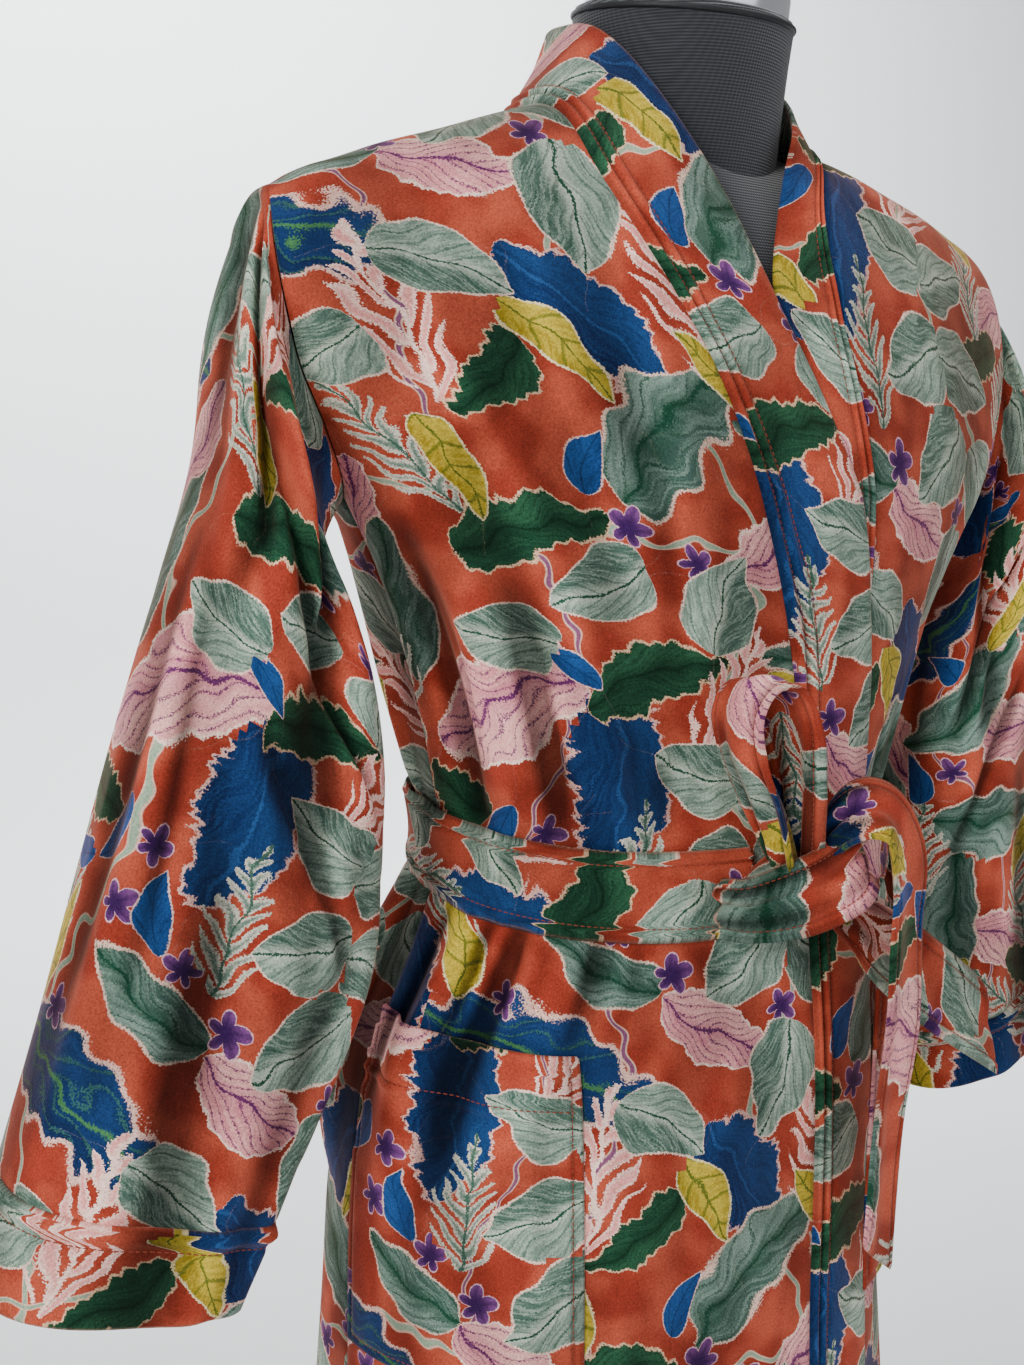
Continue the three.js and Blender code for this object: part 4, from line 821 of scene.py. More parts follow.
def pocket(name, node, mirror, shift, material):
    shares = np.concatenate([[0, 0.012], np.linspace(0.025, 0.05, 3),
                             np.linspace(0.07, 0.8, 24), np.linspace(0.81, 1, 26)])
    columns = edged(POCKET_WIDTH, 34)
    rows = POCKET_TOP - POCKET_DEPTH * (1 - shares)
    starts = angle_at(-POCKET_INNER_X, rows)
    spans = np.array([pocket_span(height, start) for height, start in zip(rows, starts)])
    angles = starts[:, None] - spans[:, None] * columns[None, :]
    place = rows[:, None] + POCKET_RISE * shares[:, None] * columns[None, :]
    mouth = np.maximum(shares - 0.8, 0)[:, None] * 5
    gape = 3.0 * mouth * np.sin(math.pi * columns)[None, :]
    across = np.minimum(columns, 1 - columns)[None, :] * POCKET_WIDTH
    up = shares[:, None] * POCKET_DEPTH
    from_mouth = (1 - shares[:, None]) * POCKET_DEPTH
    sewn = np.minimum(across, up)
    crown = smooth(0, 9, sewn)
    stitch = 1.1 * hump(sewn, EDGE_STITCH, 1.3) * (from_mouth > 3)
    hem = 1.2 * smooth(33, 30, from_mouth) + 0.9 * hump(from_mouth, 30.5, 2.0)
    stitch = stitch + 1.2 * hump(from_mouth, POCKET_HEM_STITCH, 1.5)
    slack = 0.8 * np.sin(columns * 9 + 1)[None, :] * np.sin(shares * 7)[:, None] * crown
    lift = 0.4 + 1.4 * crown + gape + slack
    angles = angles if mirror > 0 else -angles
    inner = body_point(1, angles, place, lift)
    outer = body_point(1, angles, place, lift + CLOTH + hem - stitch)
    inner = inner[:, ::-1]
    outer = outer[:, ::-1]
    flat = flat_map(outer, shift, along_from=20)
    piece = cloth_wall(name, outer, inner, flat, material, round_edge=0.55)
    declare(piece, node)
    out = outer - inner
    hem_row = int(np.argmin(np.abs((1 - shares) * POCKET_DEPTH - POCKET_HEM_STITCH)))
    stitches(name + "_hem_stitches", outer[hem_row, 3:-3], out[hem_row, 3:-3])
    foot_row = int(np.argmin(np.abs(shares * POCKET_DEPTH - EDGE_STITCH)))
    stitches(name + "_foot_stitches", outer[foot_row, 6:-6], out[foot_row, 6:-6])
    stitches(name + "_side_stitches_a", outer[foot_row:-3, 6], out[foot_row:-3, 6])
    stitches(name + "_side_stitches_b", outer[foot_row:-3, -7], out[foot_row:-3, -7])


def strap_rows(route, spans):
    keys = "place x y z turn tilt breadth"
    count = len(route)
    source = table(keys, *[(k / (count - 1),) + row for k, row in enumerate(route)])
    place = np.linspace(0, 1, spans + 1)
    centre = read_point(source, "place", place)
    turn = np.radians(read(source, "place", place, "turn"))
    tilt = np.radians(read(source, "place", place, "tilt"))
    across = np.stack([np.cos(turn) * np.cos(tilt), np.sin(turn) * np.cos(tilt), np.sin(tilt)], -1)
    step = 0.02
    ahead = read_point(source, "place", np.minimum(place + step, 1))
    ahead = unit(ahead - read_point(source, "place", np.maximum(place - step, 0)))
    across = unit(across - ahead * np.einsum("ij,ij->i", across, ahead)[:, None])
    return centre, across, ahead, read(source, "place", place, "breadth")


def strap(name, node, route, spans, slant, cup, shift, material):
    """A strap of the belt along a route, folded double, with stitched edges and a cupped section."""
    centre, across, ahead, breadth = strap_rows(route, spans)
    columns = edged(BELT_WIDTH, 9) - 0.5
    normal = unit(np.cross(across, ahead))
    width = BELT_WIDTH * breadth
    place = np.linspace(0, 1, spans + 1)
    gather = np.clip(1 - breadth, 0, 1)[:, None]
    wave = np.cos(columns * 2 * math.pi)[None, :] * cup * np.ones((spans + 1, 1))
    wave = wave + gather * 9 * np.sin(columns * 14 + 0.6)[None, :]
    wave = wave + 1.1 * np.sin(place * 21 + 1)[:, None] * np.sin(columns * 5)[None, :]
    middle = centre[:, None] + across[:, None] * (width[:, None] * columns[None, :])[..., None]
    middle = middle + normal[:, None] * wave[..., None]
    end = smooth(0.86, 1, place)[:, None] * columns[None, :] * slant
    middle = middle + ahead[:, None] * end[..., None]
    edge = (0.5 - np.abs(columns)) * BELT_WIDTH
    half = 0.9 + 1.0 * smooth(0, 2.4, edge) - 1.0 * hump(edge, EDGE_STITCH, 1.2)
    half = half[None, :] * np.ones((spans + 1, 1))
    facing = offset_grid(middle, -1) - middle
    outer = middle + facing * half[..., None]
    inner = middle - facing * half[..., None]
    flat = flat_map(middle, shift, across_from=len(columns) // 2, along_from=len(columns) // 2)
    flat[..., 0] = shift[0] + columns[None, :] * BELT_WIDTH / 1000
    piece = cloth_wall(name, outer, inner, flat, material, round_edge=0.9)
    declare(piece, node)
    for label, column in (("a", 6), ("b", -7)):
        stitches(f"{name}_stitches_{label}", outer[:, column], facing[:, column])
        stitches(f"{name}_back_stitches_{label}", inner[:, column], -facing[:, column])


KNOT_CENTRE = np.array([9.0, -133.0, 1032.0])
KNOT_HALF = (42.0, 14.5, 22.0)
KNOT_SLOPE = math.radians(16)
KNOT_POWER = 0.8
KNOT_SHADE = 14.0
KNOT_FLAT = (0.105, 0.1)


def lump(name, centre, half, slope, power, crease, material, columns=84, rows=44):
    """A closed lump of drawn-up cloth: creases wind round it along its length."""
    turn = np.linspace(0, 2 * math.pi, columns, endpoint=False)
    climb = np.linspace(-math.pi / 2, math.pi / 2, rows + 2)[1:-1]
    x = np.sin(climb)[:, None] * np.ones(columns)
    y = -np.cos(climb)[:, None] * np.cos(turn)[None, :]
    z = np.cos(climb)[:, None] * np.sin(turn)[None, :]
    wind = 4 * turn[None, :] + 5 * x
    groove = 1 + crease * (np.sin(wind) + 0.5 * np.sin(3 * wind + 1)) * np.cos(climb)[:, None] ** 0.5
    point = np.stack([signed_power(x, power) * half[0], signed_power(y, power) * half[1] * groove,
                      signed_power(z, power) * half[2] * groove], -1)
    tip = np.array([[-half[0], 0, 0], [half[0], 0, 0]])
    point = np.concatenate([point.reshape(-1, 3), tip])
    spin = np.array([
        [math.cos(slope), 0, -math.sin(slope)], [0, 1, 0], [math.sin(slope), 0, math.cos(slope)],
    ])
    point = point @ spin.T + centre
    faces = tube_faces(rows, columns)
    scale = np.array(KNOT_FLAT)
    uvs = [scale * (u / columns, v / rows) for u, v in tube_corners(rows, columns)]
    last = (rows - 1) * columns
    count = rows * columns
    for column in range(columns):
        after = (column + 1) % columns
        faces.append([after, column, count])
        uvs += [scale * (u / columns, 0) for u in (column + 1, column, column + 0.5)]
        faces.append([last + column, last + after, count + 1])
        uvs += [scale * (u / columns, 1) for u in (column, column + 1, column + 0.5)]
    flat = np.array(uvs) + np.array([0.1, 0.05])
    piece = build_mesh(name, point, faces, flat, material)
    # Painted shade on the knot: darker in the grooves of its creases, lighter on their crests
    shade = np.clip(1 + (groove - 1) * KNOT_SHADE, HOLLOW_LOW, HOLLOW_HIGH)
    set_painted_fold_shade(piece, np.append(shade, [1, 1]))
    orient_mixed(piece)
    return piece


def tube_faces(rows, count, closed=False):
    """Quads of a tube, ring after ring; closed joins the last ring to the first."""
    faces = []
    for row in range(rows if closed else rows - 1):
        low = row * count
        high = (row + 1) % rows * count
        for column in range(count):
            after = (column + 1) % count
            faces.append([low + column, low + after, high + after, high + column])
    return faces


def tube_corners(rows, count):
    """Column and row of each corner of the tube's quads, for its flat map."""
    corner = ((0, 0), (1, 0), (1, 1), (0, 1))
    return [(k + x, row + y) for row in range(rows - 1) for k in range(count) for x, y in corner]


def orient_mixed(piece):
    mesh = piece.data
    work = bmesh.new()
    work.from_mesh(mesh)
    bmesh.ops.recalc_face_normals(work, faces=work.faces)
    work.to_mesh(mesh)
    work.free()


BELT_ROUND = 300


def belt_waist(material):
    turn = np.linspace(5, 355, BELT_ROUND)
    side = np.where((turn > 90) & (turn < 270), -1, 1)
    angle = np.where(turn <= 90, turn, np.where(turn < 270, 180 - turn, turn - 360))
    columns = edged(BELT_WIDTH, 9) - 0.5

    def layer(out):
        rows = []
        for share, lift in zip(columns, out):
            point = np.zeros((len(turn), 3))
            for which in (1, -1):
                pick = side == which
                y = plain_body(which, angle[pick], np.full(pick.sum(), BELT_HEIGHT))[:, 1]
                height = belt_centre(y) + share * BELT_WIDTH
                wave = 0.8 * np.sin(angle[pick] / 7 + which) * math.sin(share * 3)
                point[pick] = body_point(which, angle[pick], height, lift + wave)
            rows.append(point)
        return np.stack(rows)

    edge = (0.5 - np.abs(columns)) * BELT_WIDTH
    rounded = 1.8 * smooth(0, 2.4, edge) - 1.7 * hump(edge, EDGE_STITCH, 1.3)
    inside = BAND_PROUD + BELT_CLEARANCE + 0 * columns
    outer = layer(inside + 2.2 + rounded)
    inner = layer(inside)
    flat = flat_map(outer, (0.05, 0.11), along_from=BELT_ROUND // 2)
    flat = flat[..., ::-1]
    piece = cloth_wall("belt_round_waist", outer, inner, flat, material, round_edge=0.9)
    declare(piece, "belt_waist")
    for label, row in (("a", 6), ("b", -7)):
        stitches(f"belt_round_waist_stitches_{label}", outer[row], outer[row] - inner[row])


LOOP_ROUTE = (
    (-4, -134, 1038, -95, 0, 0.42), (-20, -142, 1060, -95, 0, 0.55), (-38, -149, 1085, -94, 0, 0.75),
    (-53, -152, 1110, -92, 0, 0.9), (-57, -154, 1130, -92, 0, 0.92), (-47, -155, 1143, -92, 2, 0.92),
    (-31, -155, 1140, -90, 4, 0.92), (-20, -154, 1118, -86, 4, 0.92), (-12, -150, 1090, -84, 0, 0.75),
    (-4, -143, 1066, -84, 0, 0.55), (6, -134, 1040, -84, 0, 0.42),
)
LONG_TAIL_ROUTE = (
    (12, -135, 1042, 90, 60, 0.4), (17, -148, 1062, 80, 60, 0.55), (30, -157, 1072, 56, 50, 0.8),
    (49, -158, 1064, 34, 30, 0.95), (66, -153, 1034, 24, 10, 1), (71, -147, 995, 22, 2, 1),
    (72, -145, 945, 22, 0, 1), (71, -137, 880, 22, 0, 1), (70, -133, 808, 22, 0, 1),
)
SHORT_TAIL_ROUTE = (
    (26, -132, 1026, 20, 64, 0.45), (44, -132, 1010, 20, 58, 0.65), (64, -131, 994, 18, 52, 0.9),
    (90, -129, 974, 14, 48, 1), (126, -127, 948, 14, 46, 1), (166, -125, 921, 14, 46, 0.94),
)
WRAP_ROUTE = (
    (-40, -124, 1022, 100, 80, 0.62), (-32, -142, 1024, 96, 78, 0.7), (-8, -152.5, 1030, 94, 74, 0.82),
    (18, -154, 1038, 92, 72, 0.84), (38, -146, 1047, 86, 72, 0.74), (46, -126, 1052, 80, 72, 0.62),
)

# Dress form
FORM_INSETS = table(
    "height inset narrow",
    (800, 16, 1), (930, 13, 1), (1045, 9, 1), (1150, 12, 0.98), (1235, 14, 0.86),
    (1289, 16, 0.8), (1335, 17, 0.78), (1370, 11, 0.78), (1389, 6, 0.78),
)
FORM_TOP = 1386.0
FORM_FOOT = 800.0
FORM_SPANS = 72
NECK_CENTRE_Y = -17.0
NECK_BASE = 1396.0
NECK_HEIGHT = 100.0
NECK_LEAN = math.radians(9)
CAP_PROFILE = (
    (0, 0), (56, 0), (57, 2), (57, 12), (54, 16), (20, 19),
    (9, 21), (9, 27), (14, 32), (16, 38), (12, 45), (0, 48),
)
POLE_RADIUS = 15.0
BASE_PROFILE = ((0, 0), (188, 0), (190, 2), (190, 7), (182, 12), (40, 14), (0, 14))


def form_point(side, angle, height):
    angle, height = np.broadcast_arrays(np.asarray(angle, float), np.asarray(height, float))
    on_robe = plain_body(side, angle, height)
    inset = read(FORM_INSETS, "height", height, "inset")
    narrow = read(FORM_INSETS, "height", height, "narrow")
    centre_x = of_body("centre_x", height)
    rise = np.minimum(rise_of(height), 1)
    centre_y = of_body("centre_y", height) * (1 - rise) + RIDGE_Y * rise
    x = centre_x + (on_robe[..., 0] - centre_x) * narrow * (1 - inset / 200)
    reach = np.abs(on_robe[..., 1] - centre_y)
    depth = np.maximum(reach - inset * np.minimum(reach / 40, 1), 0.5)
    y = centre_y + np.sign(on_robe[..., 1] - centre_y) * depth
    lift = np.sin(rise * math.pi / 2)
    edge = smooth(130, 185, np.abs(x)) * 10
    high = ARMPIT + (read(RIDGE, "x", x, "z") - CLOTH - 2.2 - edge - ARMPIT) * lift
    z = np.where(height > ARMPIT, high, on_robe[..., 2])
    return np.stack([x, y, z], -1)


def form_torso(material):
    rows = np.concatenate([np.linspace(FORM_FOOT, ARMPIT, 60), np.linspace(ARMPIT, FORM_TOP, 40)[1:]])
    half = np.linspace(-90, 90, FORM_SPANS + 1)
    front = form_point(1, half[None, :], rows[:, None])
    back = form_point(-1, half[None, ::-1], rows[:, None])
    ring = np.concatenate([front, back[:, 1:-1]], 1)
    count = ring.shape[1]
    across = np.concatenate([arc(ring, 1), arc(ring, 1)[:, -1:] + 4], 1) / 1000
    middle = FORM_SPANS // 2
    along = arc(ring, 0)[:, middle : middle + 1] * np.ones_like(across) / 1000
    flat = np.stack([across, along], -1)
    faces = tube_faces(len(rows), count)
    uvs = [flat[row, column] for column, row in tube_corners(len(rows), count)]
    top = (len(rows) - 1) * count
    for k in range(count // 2 - 1):
        faces.append([count - 1 - k, count - 2 - k, k + 1, k])
        faces.append([top + k, top + k + 1, top + count - 2 - k, top + count - 1 - k])
        uvs += [flat[0, k]] * 4 + [flat[-1, k]] * 4
    piece = build_mesh("form_body", ring, faces, np.array(uvs), material)
    orient_mixed(piece)
    return piece


def neck_spot(turn, rise, radius):
    x = radius * np.cos(turn)
    y = radius * np.sin(turn)
    tilt = NECK_LEAN * rise
    height = NECK_HEIGHT * rise
    return np.stack([
        x,
        NECK_CENTRE_Y + y * np.cos(tilt) - height * math.sin(NECK_LEAN),
        NECK_BASE + height * math.cos(NECK_LEAN) + y * np.sin(tilt),
    ], -1)


def ring_mesh(name, rings, material, uv_scale=(1.0, 1.0)):
    """Closed surface through rings of points, with a fan at each end."""
    rows, count = rings.shape[:2]
    centres = np.stack([rings[0].mean(0), rings[-1].mean(0)])
    points = np.concatenate([rings.reshape(-1, 3), centres])
    faces = tube_faces(rows, count)
    uvs = [(u / count * uv_scale[0], v / rows * uv_scale[1]) for u, v in tube_corners(rows, count)]
    last = (rows - 1) * count
    for column in range(count):
        after = (column + 1) % count
        faces.append([after, column, rows * count])
        faces.append([last + column, last + after, rows * count + 1])
        uvs += [(0, 0)] * 6
    piece = build_mesh(name, points, faces, uvs, material)
    orient_mixed(piece)
    return piece


def form_neck(material):
    turn = np.linspace(0, 2 * math.pi, 96, endpoint=False)
    levels = [(0, 60.5), (0.08, 60), (0.3, 59.6), (0.5, 59.5), (0.75, 59.8), (0.94, 60.5), (1, 59.5)]
    rings = np.stack([neck_spot(turn, rise, radius) for rise, radius in levels])
    return ring_mesh("form_neck_block", rings, material, (0.376, 0.1))


def lathe_rings(profile, segments, origin, lean=0.0):
    turn = np.linspace(0, 2 * math.pi, segments, endpoint=False)
    rings = []
    for radius, height in profile:
        radius = max(radius, 0.05)
        point = np.stack([radius * np.cos(turn), radius * np.sin(turn), 0 * turn + height], -1)
        tilted_y = point[:, 1] * math.cos(lean) - point[:, 2] * math.sin(lean)
        tilted_z = point[:, 1] * math.sin(lean) + point[:, 2] * math.cos(lean)
        rings.append(np.stack([point[:, 0], tilted_y, tilted_z], -1) + origin)
    return np.stack(rings)


def rounded(profile, step=0.16):
    """The profile with its corners cut to small rounds."""
    points = [np.array(p, float) for p in profile]
    out = [points[0]]
    for before, here, after in zip(points[:-2], points[1:-1], points[2:]):
        out += [here + (before - here) * step, here + (before - here) * step * 0.3
                + (after - here) * step * 0.08, here + (after - here) * step]
    return out + [points[-1]]


def torus_band(name, radius, tube, rise, material, segments=120, sides=10):
    """Piping round the neck, in the slanted plane of its rim."""
    turn = np.linspace(0, 2 * math.pi, segments, endpoint=False)
    circle = np.linspace(0, 2 * math.pi, sides, endpoint=False)
    centre = neck_spot(turn, rise, radius)
    middle = centre.mean(0)
    out = unit(centre - middle)
    up = np.array([0, -math.sin(NECK_LEAN * rise), math.cos(NECK_LEAN * rise)])
    point = centre[:, None] + tube * (
        np.cos(circle)[None, :, None] * out[:, None] + np.sin(circle)[None, :, None] * up
    )
    piece = build_mesh(name, point, tube_faces(segments, sides, closed=True), None, material)
    orient_mixed(piece)
    return piece


def linear(code):
    """Linear colour of a plain hex code."""
    parts = [int(code[k : k + 2], 16) / 255 for k in (0, 2, 4)]
    return tuple(c / 12.92 if c <= 0.04045 else ((c + 0.055) / 1.055) ** 2.4 for c in parts) + (1.0,)


class Nodes:
    """Short ways to add and join the nodes of a material."""

    def __init__(self, name):
        self.material = bpy.data.materials.new(name)
        self.material.use_nodes = True
        self.tree = self.material.node_tree
        self.tree.nodes.clear()
        self.output = self.tree.nodes.new("ShaderNodeOutputMaterial")

    def feed(self, socket, value):
        if isinstance(value, bpy.types.NodeSocket):
            self.tree.links.new(value, socket)
        elif value is not None:
            socket.default_value = value

    def math(self, operation, a, b=None, c=None, clamp=False):
        node = self.tree.nodes.new("ShaderNodeMath")
        node.operation = operation
        node.use_clamp = clamp
        for socket, value in zip(node.inputs, (a, b, c)):
            self.feed(socket, value)
        return node.outputs[0]

    def times(self, a, b):
        return self.math("MULTIPLY", a, b)

    def line(self, a, b, c):
        """a times b, plus c."""
        return self.math("MULTIPLY_ADD", a, b, c)

    def zigzag(self, value, half):
        return self.math("PINGPONG", value, half)

    def vector(self, operation, a, b=None, c=None):
        node = self.tree.nodes.new("ShaderNodeVectorMath")
        node.operation = operation
        for socket, value in zip(node.inputs, (a, b, c)):
            self.feed(socket, value)
        single = operation in ("LENGTH", "DISTANCE", "DOT_PRODUCT")
        return node.outputs["Value" if single else "Vector"]

    def mix(self, factor, a, b, kind="RGBA", blend="MIX"):
        node = self.tree.nodes.new("ShaderNodeMix")
        node.data_type = kind
        if kind == "RGBA":
            node.blend_type = blend
        slots = {"FLOAT": (2, 3, 0), "VECTOR": (4, 5, 1), "RGBA": (6, 7, 2)}[kind]
        self.feed(node.inputs[0], factor)
        self.feed(node.inputs[slots[0]], a)
        self.feed(node.inputs[slots[1]], b)
        return node.outputs[slots[2]]

    def noise(self, vector, scale, detail=2.0, roughness=0.5, colour=False, flat=False):
        node = self.tree.nodes.new("ShaderNodeTexNoise")
        node.noise_dimensions = "2D" if flat else "3D"
        self.feed(node.inputs["Vector"], vector)
        node.inputs["Scale"].default_value = scale
        node.inputs["Detail"].default_value = detail
        node.inputs["Roughness"].default_value = roughness
        return node.outputs["Color" if colour else 0]

    def split(self, vector):
        node = self.tree.nodes.new("ShaderNodeSeparateXYZ")
        self.feed(node.inputs[0], vector)
        return node.outputs[0], node.outputs[1], node.outputs[2]

    def join(self, x, y, z=0.0):
        node = self.tree.nodes.new("ShaderNodeCombineXYZ")
        for socket, value in zip(node.inputs, (x, y, z)):
            self.feed(socket, value)
        return node.outputs[0]

    def uv(self, name):
        node = self.tree.nodes.new("ShaderNodeUVMap")
        node.uv_map = name
        return node.outputs[0]

    def attribute(self, name, output="Vector"):
        node = self.tree.nodes.new("ShaderNodeAttribute")
        node.attribute_type = "GEOMETRY"
        node.attribute_name = name
        return node.outputs[output]

    def spot(self):
        return self.tree.nodes.new("ShaderNodeTexCoord").outputs["Object"]

    def bump(self, height, strength, distance, normal=None):
        node = self.tree.nodes.new("ShaderNodeBump")
        node.inputs["Strength"].default_value = strength
        node.inputs["Distance"].default_value = distance
        self.feed(node.inputs["Height"], height)
        if normal is not None:
            self.feed(node.inputs["Normal"], normal)
        return node.outputs[0]

    def range(self, value, low, high, to_low=0.0, to_high=1.0):
        node = self.tree.nodes.new("ShaderNodeMapRange")
        node.interpolation_type = "SMOOTHSTEP"
        self.feed(node.inputs[0], value)
        for socket, amount in zip(node.inputs[1:5], (low, high, to_low, to_high)):
            socket.default_value = amount
        return node.outputs[0]

    def surface(self, **values):
        node = self.tree.nodes.new("ShaderNodeBsdfPrincipled")
        for name, value in values.items():
            self.feed(node.inputs[name.replace("_", " ")], value)
        self.tree.links.new(node.outputs[0], self.output.inputs["Surface"])
        return node


# The print: leaves, ferns, sprays and small flowers on a warm ground. Lengths are in centimetres.
REPEAT = np.array([34.0, 46.0])
GROUND = ("8B3224", "AA4A36")
# Kinds of leaf: colours of fill, veins, rim and core, then the outline, its teeth and its side veins
KINDS = {
    "sage": dict(fills=("3C564E", "7A9084"), vein="17402F", rim="DDBBA8", core="234A3A", half_width=0.46,
                 base=0.55, tip=0.85, serration=0.0, teeth=1, slant=1.3, rays=5, bend=0.16, thin=0.7),
    "navy": dict(fills=("0F2142", "1A3762"), vein="3E6E44", rim="DDB3A4", core="132E57", half_width=0.31,
                 base=0.5, tip=0.8, serration=0.03, teeth=7, slant=1.5, rays=5, bend=0.2, thin=0.5),
    "pink": dict(fills=("CF8388", "E6ACA5"), vein="5C2858", rim="EFCDBF", core="C47A88", half_width=0.5,
                 base=0.6, tip=0.65, serration=0.05, teeth=7, slant=1.2, rays=6.5, bend=-0.14, thin=0.9),
    "feather": dict(fills=("0F2248", "193B68"), vein="1F4474", rim="D9A99C", core="11294F", half_width=0.49,
                    base=0.45, tip=0.75, serration=0.06, teeth=14, slant=1.8, rays=8, bend=0.1, thin=0.4),
    "heart": dict(fills=("465F54", "8FA192"), vein="1F4636", rim="E2C4B2", core="B9C2B2", half_width=0.74,
                  base=0.42, tip=0.8, serration=0.0, teeth=1, slant=1.0, rays=4, bend=0.12, thin=0.55),
    "green": dict(fills=("153828", "285239"), vein="0C2A1B", rim="D6B08E", core="123222", half_width=0.4,
                  base=0.55, tip=0.9, serration=0.08, teeth=8, slant=1.4, rays=8, bend=0.2, thin=0.7),
    "pod": dict(fills=("97801F", "BFA93A"), vein="5A6422", rim="E6D3A2", core="BDA738", half_width=0.42,
                base=0.6, tip=0.9, serration=0.0, teeth=1, slant=0.35, rays=4, bend=0.08, thin=0.8),
    "blue": dict(fills=("16386A", "1F4A82"), vein="122F57", rim="D9B4AA", core="1A4175", half_width=0.5,
                 base=0.5, tip=0.9, serration=0.0, teeth=1, slant=1.0, rays=2, bend=0.2, thin=0.5),
}
CODES = {name: (k + 0.5) / len(KINDS) for k, name in enumerate(KINDS)}
FINE_CODES = {"fern": 0.0, "spray": 0.5, "violet": 1.0}
FINE_WIDTH = {"fern": 0.5, "spray": 0.5, "violet": 0.95}
# Motifs in one repeat by kind: x, y, turn in degrees, half length. Later layers lie over earlier ones.
LAYERS = {
    "print_under": (
        ("pink", (7.3, 38.4, 205, 5.8), (17.4, 20.6, -30, 3.6), (29.0, 33.0, 215, 3.6),
         (25.4, 1.2, 25, 4.2)),
        ("navy", (8.2, 18.6, -25, 8.0), (31.6, 13.4, 115, 7.0)),
        ("feather", (13.4, 34.2, -95, 5.4), (32.2, 24.6, 100, 5.2), (19.2, 11.6, -60, 4.6)),
        ("pink", (1.4, 3.2, 60, 4.0)),
    ),
    "print_middle": (
        ("sage", (27.4, 41.6, 195, 5.2), (32.2, 35.8, -80, 4.8), (20.4, 6.8, 35, 5.6),
         (28.4, 5.4, 150, 5.6), (1.4, 12.4, -100, 5.0), (2.0, 44.4, 75, 4.8)),
        ("green", (16.4, 40.0, 15, 4.0), (3.6, 33.2, 150, 3.0), (26.0, 30.2, -160, 3.2),
         (11.4, 2.0, 10, 4.2), (12.6, 10.0, -150, 3.2), (27.4, 15.6, 60, 3.0)),
        ("sage", (11.4, 24.4, 150, 3.6)),
    ),
    "print_over": (
        ("heart", (18.2, 34.6, 160, 2.9), (22.8, 33.8, 20, 2.9), (18.4, 28.8, -160, 3.0),
         (23.8, 28.6, -15, 3.0), (19.6, 24.0, -140, 3.3), (25.2, 22.6, -60, 3.1), (21.8, 17.0, -110, 3.3),
         (8.8, 42.4, 165, 2.7), (6.2, 12.4, -160, 2.8), (14.2, 45.0, 200, 2.9), (20.8, 44.0, 60, 3.0),
         (14.4, 15.6, -35, 2.8)),
        ("pod", (3.4, 25.4, 70, 3.2), (16.8, 11.2, -60, 3.0), (33.2, 30.0, -75, 2.9),
         (8.8, 5.6, -80, 3.0), (25.0, 38.2, -40, 2.8), (24.6, 9.6, 130, 2.6)),
        ("blue", (6.8, 31.4, -120, 1.9), (3.6, 29.8, 170, 1.7), (15.4, 5.8, 60, 1.9),
         (31.0, 8.8, 40, 1.8), (10.8, 28.6, 100, 2.0), (33.2, 0.6, 80, 1.9), (29.4, 19.0, -30, 1.8),
         (12.2, 40.6, -40, 1.6)),
    ),
    "print_fine": (
        ("fern", (2.6, 28.4, 100, 4.8), (26.0, 35.4, 95, 4.0), (6.2, 7.4, 115, 4.8),
         (14.6, 29.4, 85, 4.0), (29.6, 28.6, 60, 4.0), (33.4, 41.8, 100, 4.0)),
        ("spray", (10.6, 13.8, 78, 5.0), (24.8, 12.6, 98, 5.2), (20.6, 38.8, 60, 4.6)),
        ("violet", (9.6, 31.4, 0, 1.4), (8.8, 28.2, 40, 1.5), (12.6, 26.2, 80, 1.4),
         (15.2, 23.8, 10, 1.5), (16.4, 2.2, 60, 1.5), (19.4, 0.2, 30, 1.4), (30.6, 0.6, 70, 1.5),
         (28.0, 24.6, 20, 1.5), (28.8, 21.6, 50, 1.3), (5.4, 22.6, 15, 1.4), (22.0, 21.0, 35, 1.4)),
    ),
}


# Where each piece is cut from the print, by the start of its name.
PRINT_SHIFTS = (
    ("robe_neckband", 11.0, 5.0), ("sleeve", 19.0, 8.0), ("cuff", 19.0, 8.0), ("pocket", 6.0, 17.0),
    ("belt", 3.0, 9.0), ("knot", 3.0, 9.0), ("", 0.0, 0.0),
)


